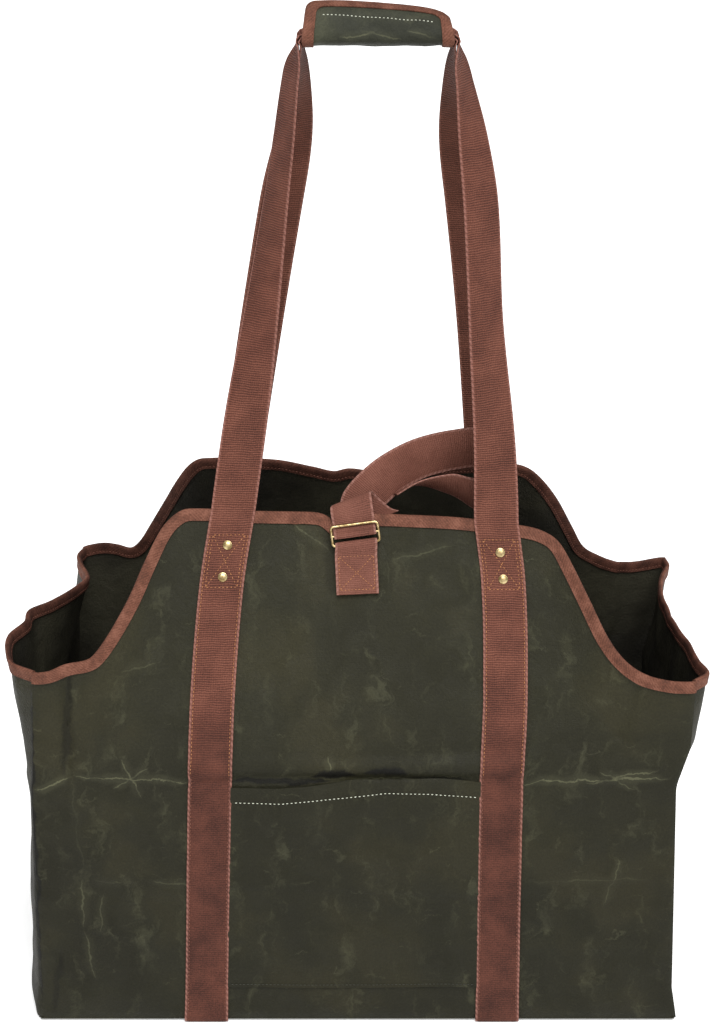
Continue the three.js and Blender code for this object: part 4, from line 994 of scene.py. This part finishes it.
# Painted shade: a darker copy of the brown webbing for its inner faces, which turn away from the light
webbing_shaded = ribbed_webbing("brown_webbing_painted_shade", ("#321b14", "#553024", "#6c4335", "#865a4d"),
                               WEBBING_WIDTH / 2)
closure_brown = ribbed_webbing("brown_closure_webbing", ("#47291f", "#6a4135", "#7f5446", "#936a5f"),
                               CLOSURE_WIDTH / 2, 1.6, 0.2)
tape_brown = twill_tape("brown_binding_tape", ("#4b2e23", "#613c2e", "#734b3c"))
# Painted shade: a darker copy of the binding tape for its inner leg, which lies in the shade inside the bag
tape_shaded = twill_tape("brown_binding_tape_painted_shade", ("#301a13", "#46291f", "#57352a"))
thread_tan = sewing_thread("tan_thread", ("#8a583a", "#ac774c"))
thread_rust = sewing_thread("rust_thread", ("#5a3124", "#7d5040"))
thread_white = sewing_thread("white_thread", ("#9fa190", "#c9ccbb"))
thread_dark = sewing_thread("dark_thread", ("#22211b", "#34342a"))
brass = antique_brass("antique_brass", ("#836d47", "#c8b486"))


# Body
def panel(face, name):
    """Level rows up to just above the crease, then rows that draw nearer to the rim's curve."""
    across = rim_stations(face, CLOTH_CELL)
    span = np.linspace(0, 1, 150)[:, None]
    level_share, rim_share = 0.48, 0.99
    start = 1.05 * CREASE_HEIGHT
    end_across, end_height = in_from_rim(face, across, TAPE_WIDTH)
    low, high = np.clip(span / level_share, 0, 1), np.clip((span - level_share) / 0.5, 0, 1)
    rim = span > rim_share
    height = np.where(span <= level_share, lerp(FOOT - CANVAS, start, low), lerp(start, end_height, high))
    height = np.where(rim, rim_height(face, across), height)
    place = np.where(rim, across, lerp(across, end_across, high))
    grid = panel_place(face, place, height).transpose(1, 0, 2)
    uv = np.stack([place, height], -1).transpose(1, 0, 2)
    sheet(name, name, [canvas_of[face], canvas_inside], grid, uv, CANVAS, (0, face, 0))


def gusset(side, name):
    depths = np.linspace(0, BODY_DEPTH, 110)[:, None]
    rim = gusset_rim(side, depths)
    height = lerp(FOOT - CANVAS, rim, np.linspace(0, 1, 110)[None])
    depth = np.broadcast_to(depths, height.shape)
    grid = gusset_place(side, depth, height)
    uv = np.stack([depth + side * CUT_FROM["gusset"], height], -1)
    sheet(name, name, [gusset_canvas[side], canvas_inside], grid, uv, CANVAS, (side, 0, 0))


def base():
    inset, edge = 2, 40
    x = np.linspace(-HALF_WIDTH + inset, HALF_WIDTH - inset, 130)[:, None]
    y = np.linspace(-HALF_DEPTH + inset, HALF_DEPTH - inset, 80)[None]
    calm = eased((HALF_WIDTH - np.abs(x)) / edge) * eased((HALF_DEPTH - np.abs(y)) / edge)
    settle = 0.5 * cloud(x, y, 60, 71) * calm
    height = WEBBING + GAP + CANVAS / 2 + np.abs(settle)
    grid = spot(x, y, height)
    uv = np.stack(np.broadcast_arrays(x, y + CUT_FROM["base"]), -1)
    sheet("base_panel", "base_panel", [waxed_plain, canvas_inside], grid, uv, CANVAS, (0, 0, -1))


def pocket_mouth(share):
    """Height of the pocket's mouth, from its left end to its right."""
    return POCKET_HEIGHT + np.interp(share, (0, 0.2, 0.45, 0.62, 0.8, 1), (-4, -5, 0, 4, 3, 0))


def pocket_gape(share, rise):
    return POCKET_GAPE * np.sin(np.pi * share) ** 2 * eased((rise - 0.55) / 0.45)


def pocket_row(heights, shares, out):
    """A row of stitches across the pocket, at a height for each share of its width."""
    across = lerp(strap_across(FRONT, LEFT, heights) + WEBBING_WIDTH / 2,
                  strap_across(FRONT, RIGHT, heights) - WEBBING_WIDTH / 2, shares)
    gape = pocket_gape(shares, heights / POCKET_HEIGHT)
    return on_panel(FRONT, across, heights, ON_CANVAS + CANVAS + gape + out)


def pocket():
    share = np.linspace(0, 1, 90)[:, None]
    mouth = pocket_mouth(share)
    rise = np.linspace(0, 1, 80)[None]
    height = lerp(POCKET_FOOT, mouth, rise)
    left = strap_across(FRONT, LEFT, height) + WEBBING_WIDTH / 2 - 1
    right = strap_across(FRONT, RIGHT, height) - WEBBING_WIDTH / 2 + 1
    across = lerp(left, right, share)
    slack = 0.7 * cloud(across, height, 38, 90) * np.sin(np.pi * share) * np.sin(np.pi * rise)
    hem = eased((height - mouth + HEM) / 2)
    seam = np.exp(-(((height - mouth + HEM) / 1.6) ** 2))
    out = ON_CANVAS + CANVAS / 2 + pocket_gape(share, rise) + np.abs(slack) + 0.45 * hem - 0.35 * seam
    grid = on_panel(FRONT, across, height, out)[0]
    thickness = CANVAS + 0.9 * hem
    uv = np.stack(np.broadcast_arrays(across + CUT_FROM["pocket"], height), -1)
    sheet("front_pocket", "front_pocket", [waxed_plain], grid, uv, thickness, (0, -1, 0))
    shares = np.linspace(0.01, 0.99, 90)
    hem_row = pocket_row(pocket_mouth(shares) - HEM, shares, 0.35)
    stitch_rows("pocket_hem_stitches", thread_white, [hem_row], length=1.9, pitch=3.6, thread=0.8)
    foot_row = pocket_row(np.full(90, POCKET_FOOT + 3.0), shares, 0.1)
    stitch_rows("pocket_foot_stitches", thread_dark, [foot_row])


# Binding tape
TAPE_INSETS = (TAPE_WIDTH, 6.9, TAPE_SEAM, 4.4, 2.2, 0)


def tape_section(on, pucker):
    """Rows across a tape folded over an edge: outer leg, round back and inner leg."""
    reach = ON_CANVAS + TAPE / 2
    dimple = {inset: (SEAM_DIMPLE if inset == TAPE_SEAM else 0) for inset in TAPE_INSETS}
    rows, flat = [], []
    for inset in TAPE_INSETS:
        rows.append(on(inset, reach + pucker - dimple[inset])[0])
        flat.append(TAPE_WIDTH - inset)
    edge, normal = on(0, 0)
    beyond = unit(on(-1, 0)[0] - edge)
    for degrees in (60, 30, 0, -30, -60):
        turn = math.radians(degrees)
        rows.append(edge + reach * (math.sin(turn) * normal + math.cos(turn) * beyond))
        flat.append(TAPE_WIDTH + reach * math.radians(90 - degrees))
    for inset in reversed(TAPE_INSETS):
        rows.append(on(inset, -reach - pucker + dimple[inset])[0])
        flat.append(TAPE_WIDTH + math.pi * reach + inset)
    return np.stack(rows, 1), np.array(flat)


def tape_piece(name, on, count, facing, looped=False, seed=0):
    along = np.linspace(0, 1, count)
    pucker = 0.22 * np.abs(cloud(along * count, np.zeros(count), 11, 100 + seed))
    grid, flat = tape_section(on, pucker)
    run = run_along(grid[:, 0])
    uv = np.stack(np.broadcast_arrays(run[:, None], flat[None] + 40 * seed), -1)
    # From this column on, round the edge and down the inner leg, the tape's outer side takes its
    # painted-shade copy
    turned = None if looped else len(TAPE_INSETS) + 2
    sheet(name, name, [tape_brown, tape_shaded], grid, uv, TAPE, facing, looped, turned)


def tape_rows(on):
    """Stitch rows along both legs of a tape, a little sunk in its cloth."""
    out = ON_CANVAS + TAPE - SEAM_DIMPLE / 2
    outer, outward = on(TAPE_SEAM, out)
    return [(outer, outward), (on(TAPE_SEAM, -out)[0], -outward)]


def panel_tape(face, name, seed):
    across = rim_stations(face, 1.4)

    def on(inset, out):
        place, height = in_from_rim(face, across, inset)
        return on_panel(face, place, height, out + np.zeros_like(place))

    tape_piece(name, on, len(across), (0, 0, 1), seed=seed)
    return tape_rows(on)


def gusset_tape(side, name, seed):
    depths = np.linspace(0, BODY_DEPTH, 230)

    def on(inset, out):
        return on_gusset(side, depths, gusset_rim(side, depths) - inset, out + np.zeros_like(depths))

    tape_piece(name, on, len(depths), (0, 0, 1), seed=seed)
    return tape_rows(on)


# Webbing and its stitching
def thinned(across, thickness, width, share):
    """The thickness of a band across its width: it thins by a share towards its two edges."""
    near_edge = np.clip((np.abs(across) - (width / 2 - THIN_EDGE)) / THIN_EDGE, 0, 1)
    return thickness * (1 - near_edge**3 * share)[None]


def webbing_strap(face, name):
    down = [row[::-1] for row in reversed(strap_rise(face, RIGHT))]
    rows = strap_rise(face, LEFT) + strap_in_grip(face) + down
    grid, run = resampled(rows, 2.6)
    uv = np.stack(np.broadcast_arrays(ACROSS_WEBBING[None], run[:, None]), -1)
    thickness = thinned(ACROSS_WEBBING, WEBBING, WEBBING_WIDTH, 0.55)
    sheet(name, name, [webbing_brown, webbing_shaded], grid, uv, thickness, (0, 0, 1))


def strap_line(face, side, offsets, heights):
    across = strap_across(face, side, heights) + offsets
    lift = webbing_out(rim_height(face, across) - heights) + WEBBING / 2
    return on_panel(face, across, heights, lift)


def edge_rows(face, side, start, end):
    """Stitch rows along both edges of a strap between two heights."""
    heights = np.linspace(start, end, 90)
    off_middle = WEBBING_WIDTH / 2 - 2.8
    return [strap_line(face, side, np.full(90, sign * off_middle), heights) for sign in (-1, 1)]


def strap_stitching(face, side):
    """Edge rows from the crease up to the box, and the box with its cross."""
    low, high = BOX_HEIGHTS[side]
    rows = edge_rows(face, side, CREASE_HEIGHT + 8, high)
    box = crossed_box(WEBBING_WIDTH / 2 - 5.4, low, high, 30)
    return rows + [strap_line(face, side, across, heights) for across, heights in box]


def rivet(face, side, height, name):
    """A domed brass cap with a rolled edge."""
    across = np.array(strap_across(face, side, np.array(float(height))))
    lift = webbing_out(rim_height(face, across + side * RIVET_DIAMETER) - height) + WEBBING / 2 + 0.05
    point, normal = on_panel(face, across, np.array(float(height)), lift)
    radius = RIVET_DIAMETER / 2
    sides = 32
    side_axis = unit(np.cross(np.array([0, 0, 1.0]), normal))
    up_axis = np.cross(normal, side_axis)
    angles = np.arange(sides) * 2 * np.pi / sides
    circle = radius * (np.cos(angles)[:, None] * side_axis + np.sin(angles)[:, None] * up_axis)
    rings = [point + normal * rise * RIVET_HEIGHT + share * circle for share, rise in RIVET_CAP[1:]]
    points = np.concatenate([[point + normal * RIVET_HEIGHT], *rings])
    faces = [(0, 1 + j, 1 + (j + 1) % sides) for j in range(sides)]
    # The crown's fan of faces stands in for the tube's cap at its first ring
    tube = tube_faces(len(rings), sides, 1)
    faces += [around[::-1] for around in tube[:-2] + tube[-1:]]
    return finished(make_mesh(name, points, faces), name, name, [brass], 35)


# Handle wrap
def grip_reach(around):
    over = np.clip((np.abs(around) - (GRIP_HALF_ROUND - GRIP_CORNER)) / GRIP_CORNER, 0, 1)
    return GRIP_LENGTH / 2 - GRIP_CORNER * (1 - np.sqrt(1 - over**2))


def handle_wrap():
    """Canvas folded up round both webbings, with its corners rounded."""
    around = np.linspace(-GRIP_HALF_ROUND, GRIP_HALF_ROUND, 120)[:, None]
    share = np.linspace(-1, 1, 90)[None]
    along = share * grip_reach(around)
    around = np.broadcast_to(around, along.shape)
    grid = grip_place(along, around)
    uv = np.stack([along, around + CUT_FROM["grip"]], -1)
    sheet("handle_wrap", "handle_wrap", [waxed_grip, canvas_inside], grid, uv, CANVAS, (0, 0, -1))


def grip_outline(spacing):
    """The outline of the wrap laid flat, with an inward direction at each place."""
    corners, outward = rounded_corners(GRIP_LENGTH / 2, GRIP_HALF_ROUND, GRIP_CORNER, 16)
    corners, outward = np.append(corners, corners[:1], 0), np.append(outward, outward[:1], 0)
    run = run_along(corners)
    at = np.linspace(0, run[-1], int(run[-1] / spacing), endpoint=False)
    path, outward = (np.stack([np.interp(at, run, values[:, k]) for k in range(2)], -1)
                     for values in (corners, outward))
    return path, -unit(outward)


def wrap_tape():
    path, inward = grip_outline(1.4)

    def on(inset, out):
        place = path + inward * inset
        return on_grip(place[:, 0], place[:, 1], out + np.zeros(len(place)))

    tape_piece("wrap_binding", on, len(path), (-1, 0, 0), looped=True, seed=7)
    stitch_rows("wrap_tape_stitches", thread_rust, tape_rows(on)[:1], length=1.8, thread=0.5)


def wrap_stitching():
    """The white row that closes the wrap below its top edge, on both sides."""
    rows = []
    for sign in (-1, 1):
        along = np.linspace(-GRIP_LENGTH / 2 + TAPE_WIDTH + 5, GRIP_LENGTH / 2 - TAPE_WIDTH - 6, 60)
        level = sign * (GRIP_HALF_ROUND - TAPE_WIDTH - np.linspace(8.5, 11.5, 60))
        rows.append(on_grip(along, level, np.full(60, CANVAS / 2 + 0.1)))
    stitch_rows("wrap_stitches", thread_white, rows, length=1.7, pitch=3.3, thread=0.8)


# Closure
BAR_PITCH = BUCKLE_WINDOW + BUCKLE_WIRE
UNDER_BUCKLE = ON_CANVAS + OVER_TAPE + WEBBING / 2
BUCKLE_OUT = UNDER_BUCKLE + WEBBING / 2 + GAP + BUCKLE_WIRE / 2
ROUND_BAR = BUCKLE_WIRE / 2 + 0.15 + WEBBING / 2
BUCKLE_TILT = math.radians(5)


def tab_point(height, out):
    return on_panel(FRONT, np.array(float(TAB_SHIFT)), np.array(float(height)), np.array(float(out)))


BUCKLE_CENTRE, BUCKLE_NORMAL = tab_point(BUCKLE_HEIGHT, 0)
STRAIGHT_UP = unit(tab_point(BUCKLE_HEIGHT + 1, 0)[0] - BUCKLE_CENTRE)
STRAIGHT_ACROSS = np.cross(STRAIGHT_UP, BUCKLE_NORMAL)
BUCKLE_UP = math.cos(BUCKLE_TILT) * STRAIGHT_UP - math.sin(BUCKLE_TILT) * STRAIGHT_ACROSS
BUCKLE_ACROSS = math.cos(BUCKLE_TILT) * STRAIGHT_ACROSS + math.sin(BUCKLE_TILT) * STRAIGHT_UP


def near_buckle(across, up, out):
    """A place near the buckle: across it, up from its middle bar and out from the panel."""
    return BUCKLE_CENTRE + across * BUCKLE_ACROSS + up * BUCKLE_UP + out * BUCKLE_NORMAL


ACROSS_CLOSURE = np.linspace(-0.5, 0.5, 13) * CLOSURE_WIDTH


def buckle_row(up, out):
    return np.stack([near_buckle(offset, up, out) for offset in ACROSS_CLOSURE])


def round_bar(bar, degrees):
    """Rows of webbing round one of the buckle's bars: -1 is the lower one, and 0 the middle one."""
    rows = []
    for turn in np.radians(degrees):
        rows.append(buckle_row(bar * BAR_PITCH + ROUND_BAR * math.cos(turn),
                               BUCKLE_OUT + ROUND_BAR * math.sin(turn)))
    return rows


def band(name, node, rows, facing, thickness=WEBBING, spacing=1.6):
    grid, run = resampled(rows, spacing)
    uv = np.stack(np.broadcast_arrays(ACROSS_CLOSURE[None], run[:, None] + 50), -1)
    thickness = thinned(ACROSS_CLOSURE, thickness, CLOSURE_WIDTH, 0.5)
    sheet(name, node, [closure_brown], grid, uv, thickness, facing)


def closure_tab():
    """Webbing sewn to the panel, round the buckle's lower bar and down again over itself."""
    inner, outer = ON_CANVAS + WEBBING / 2, ON_CANVAS + 1.5 * WEBBING + GAP
    top = BUCKLE_HEIGHT - BAR_PITCH - 3.4 * ROUND_BAR
    heights = [lerp(TAB_FOOT, top, share) for share in (0, 0.35, 0.7, 1)]
    lifts = [(height, inner) for height in heights]
    lifts_down = [(height, outer + (0.5 if height == top else 0)) for height in reversed(heights)]
    under, over = ([tab_point(*lift)[0] + ACROSS_CLOSURE[:, None] * STRAIGHT_ACROSS for lift in leg]
                   for leg in (lifts, lifts_down))
    band("closure_tab", "closure_tab", under + round_bar(-1, (-80, -40, 0, 40, 80)) + over, (0, 0, 1))
    lines = []
    for across, seam in crossed_box(CLOSURE_WIDTH / 2 - 3.2, TAB_FOOT + 3.5, lerp(TAB_FOOT, top, 0.97), 24):
        points, normals = zip(*[tab_point(height, outer + WEBBING / 2) for height in seam])
        lines.append((np.array(points) + across[:, None] * STRAIGHT_ACROSS, np.array(normals)))
    stitch_rows("tab_stitches", thread_tan, lines, length=1.9, pitch=2.9, thread=0.65)


# The end that folds over above the buckle: its left and right edges, in the buckle's own directions
TAIL_FOLD = [
    dict(left=(-18, 12, 3.4), right=(18, 12, 3.4)),
    dict(left=(-18.3, 17, 4.0), right=(18, 20, 4.2)),
    dict(left=(-18.3, 22, 3.8), right=(18, 29, 4.0)),
    dict(left=(-17.5, 26, 1.0), right=(18.2, 34, 1.2)),
    dict(left=(-15, 27, -3), right=(19.5, 35, -3)),
    dict(left=(-11, 25, -7), right=(23, 31, -7.5)),
    dict(left=(-6, 19, -9), right=(28, 25, -10)),
    dict(left=(0, 11, -10), right=(34, 19, -10.5)),
    dict(left=(6, 6, -9.5), right=(40, 16, -8.5)),
]


def closure_tail():
    """Webbing that comes round the middle bar, over the upper one and folds away behind."""
    rows = round_bar(0, (150, 110, 70, 30, 0))
    for share in (0.6, 0.95):
        rows.append(buckle_row(share * BAR_PITCH, lerp(BUCKLE_OUT, UNDER_BUCKLE, min(1, 2.6 * share - 0.9))))
    for edge in TAIL_FOLD:
        ends = [near_buckle(*edge[name]) for name in ("left", "right")]
        share = (ACROSS_CLOSURE / CLOSURE_WIDTH + 0.5)[:, None]
        rows.append(lerp(ends[0], ends[1], share))
    band("closure_tail", None, rows, (0, -1, 0.3), 1.7, 1.2)


def closure_band():
    """The slack loop that rises behind the rim, turns back behind the handle and comes down again."""
    rim = panel_place(FRONT, np.array(float(TAB_SHIFT)), np.array(float(PANEL_HEIGHT)))
    stations = np.linspace(0, 1, 60)
    keys = np.linspace(0, 1, len(CLOSURE_RUN["right"]))
    table = {"at": keys, **CLOSURE_RUN}
    rows = []
    for at in stations:
        right, inward, above, slope, lean = (float(smooth_column(table, "at", name, at))
                                             for name in ("right", "inward", "above", "slope", "lean"))
        turn, tip = math.radians(slope), math.radians(lean)
        centre = np.array([rim[0] + right * CLOSURE_REACH, lerp(rim[1], 0, inward),
                           rim[2] + above * CLOSURE_WIDTH])
        width = np.array([math.sin(turn) * math.cos(tip), math.sin(tip), -math.cos(turn) * math.cos(tip)])
        rows.append(centre + ACROSS_CLOSURE[:, None] * width)
    band("closure_band", "closure_strap", rows, (0, 0, 1), 1.7)


def tri_glide():
    """A bent wire frame with a straight bar across its middle."""
    half_wide = CLOSURE_WIDTH / 2 + 0.9 + BUCKLE_WIRE / 2
    corners = rounded_corners(half_wide, BAR_PITCH, 2.6, 8)[0]
    points, faces = round_wire([near_buckle(x, y, BUCKLE_OUT) for x, y in corners], BUCKLE_WIRE / 2)
    bar = np.array([near_buckle(x, 0, BUCKLE_OUT) for x in np.linspace(-half_wide, half_wide, 6)])
    # A bow too slight to see gives the straight bar a plane to turn its sections in
    bar[1:-1] += BUCKLE_NORMAL * 0.01
    bar_points, bar_faces = round_wire(bar, BUCKLE_WIRE / 2 * 0.95, closed=False)
    faces += [tuple(k + len(points) for k in face) for face in bar_faces]
    mesh = make_mesh("tri_glide", np.concatenate([points, bar_points]), faces)
    finished(mesh, "tri_glide", "tri_glide", [brass])


for face, name in ((FRONT, "front"), (BACK, "back")):
    panel(face, f"{name}_panel")
for side, name in ((LEFT, "left"), (RIGHT, "right")):
    gusset(side, f"{name}_gusset")
base()
pocket()
tape_seams = (panel_tape(FRONT, "binding_front", 1) + panel_tape(BACK, "binding_back", 2)
              + gusset_tape(LEFT, "binding_left", 3) + gusset_tape(RIGHT, "binding_right", 4))
stitch_rows("tape_stitches", thread_rust, tape_seams, length=1.8, thread=0.55)
for face, name in ((FRONT, "front"), (BACK, "back")):
    webbing_strap(face, f"webbing_{name}")
    seams = strap_stitching(face, LEFT) + strap_stitching(face, RIGHT)
    stitch_rows(f"strap_stitches_{name}", thread_tan, seams, length=2.0, thread=0.65)
    low_seams = [row for side in (LEFT, RIGHT) for row in edge_rows(face, side, FOOT + 8, CREASE_HEIGHT + 5)]
    stitch_rows(f"strap_low_stitches_{name}", thread_rust, low_seams, length=1.8, thread=0.55)
    for side, hand in ((LEFT, "left"), (RIGHT, "right")):
        for number, height in enumerate(RIVET_HEIGHTS[side], 1):
            rivet(face, side, height, f"rivet_{name}_{hand}_{number}")
handle_wrap()
wrap_tape()
wrap_stitching()
closure_tab()
closure_tail()
closure_band()
tri_glide()


# Stage
def floor():
    size, height = 40.0, -HANDLE_HEIGHT * 0.001
    mesh = bpy.data.meshes.new("floor")
    corners = [(x * size, y * size, height) for x, y in ((-1, -1), (1, -1), (1, 1), (-1, 1))]
    mesh.from_pydata(corners, [], [(0, 1, 2, 3)])
    piece = bpy.data.objects.new("floor", mesh)
    bpy.context.scene.collection.objects.link(piece)
    material, tree = new_material("pale_floor")
    close_material(tree, Base_Color=linear("#f7f7f7"), Roughness=0.9, Specular_IOR_Level=0.1,
                   Emission_Color=(1, 1, 1, 1), Emission_Strength=0.3)
    mesh.materials.append(material)


def sun(direction, strength, spread_degrees):
    data = bpy.data.lights.new("window_light", "SUN")
    data.energy, data.angle = strength, math.radians(spread_degrees)
    lamp = bpy.data.objects.new("window_light", data)
    lamp.rotation_euler = Vector(direction).to_track_quat("Z", "Y").to_euler()
    bpy.context.scene.collection.objects.link(lamp)


def studio_world():
    """A room that is lighter in front and to the right, and darker behind the carrier."""
    world = bpy.data.worlds.new("studio")
    world.use_nodes = True
    tree = world.node_tree
    tree.nodes.clear()
    direction = add_node(tree, "TexCoord", output="Generated")
    lit = add_node(tree, "VectorMath", {0: direction, 1: (0.3, -0.8, 0.52)}, operation="DOT_PRODUCT",
                   output="Value")
    strength = add_node(tree, "MapRange", {"Value": lit, "From Min": -0.8, "From Max": 1.0, "To Min": 0.15,
                                           "To Max": 0.75}, interpolation_type="SMOOTHSTEP")
    background = add_node(tree, "Background", {"Color": (1, 1, 1, 1), "Strength": strength})
    add_node(tree, "OutputWorld", {"Surface": background})
    bpy.context.scene.world = world


def camera():
    """The photograph's view: about 2.1 m away, a little above the grip and looking down."""
    data = bpy.data.cameras.new("camera")
    data.sensor_width, data.lens = 36, 87.89
    data.clip_start, data.clip_end = 0.05, 120
    eye = bpy.data.objects.new("camera", data)
    eye.location = (-0.017, -2.0974, 0.2921)
    eye.rotation_euler = (math.radians(71.5), 0, 0)
    bpy.context.scene.collection.objects.link(eye)
    bpy.context.scene.camera = eye


floor()
sun((0.1, -0.56, 0.82), 3.3, 40)
camera()
studio_world()
bpy.context.scene.view_settings.view_transform = "Standard"
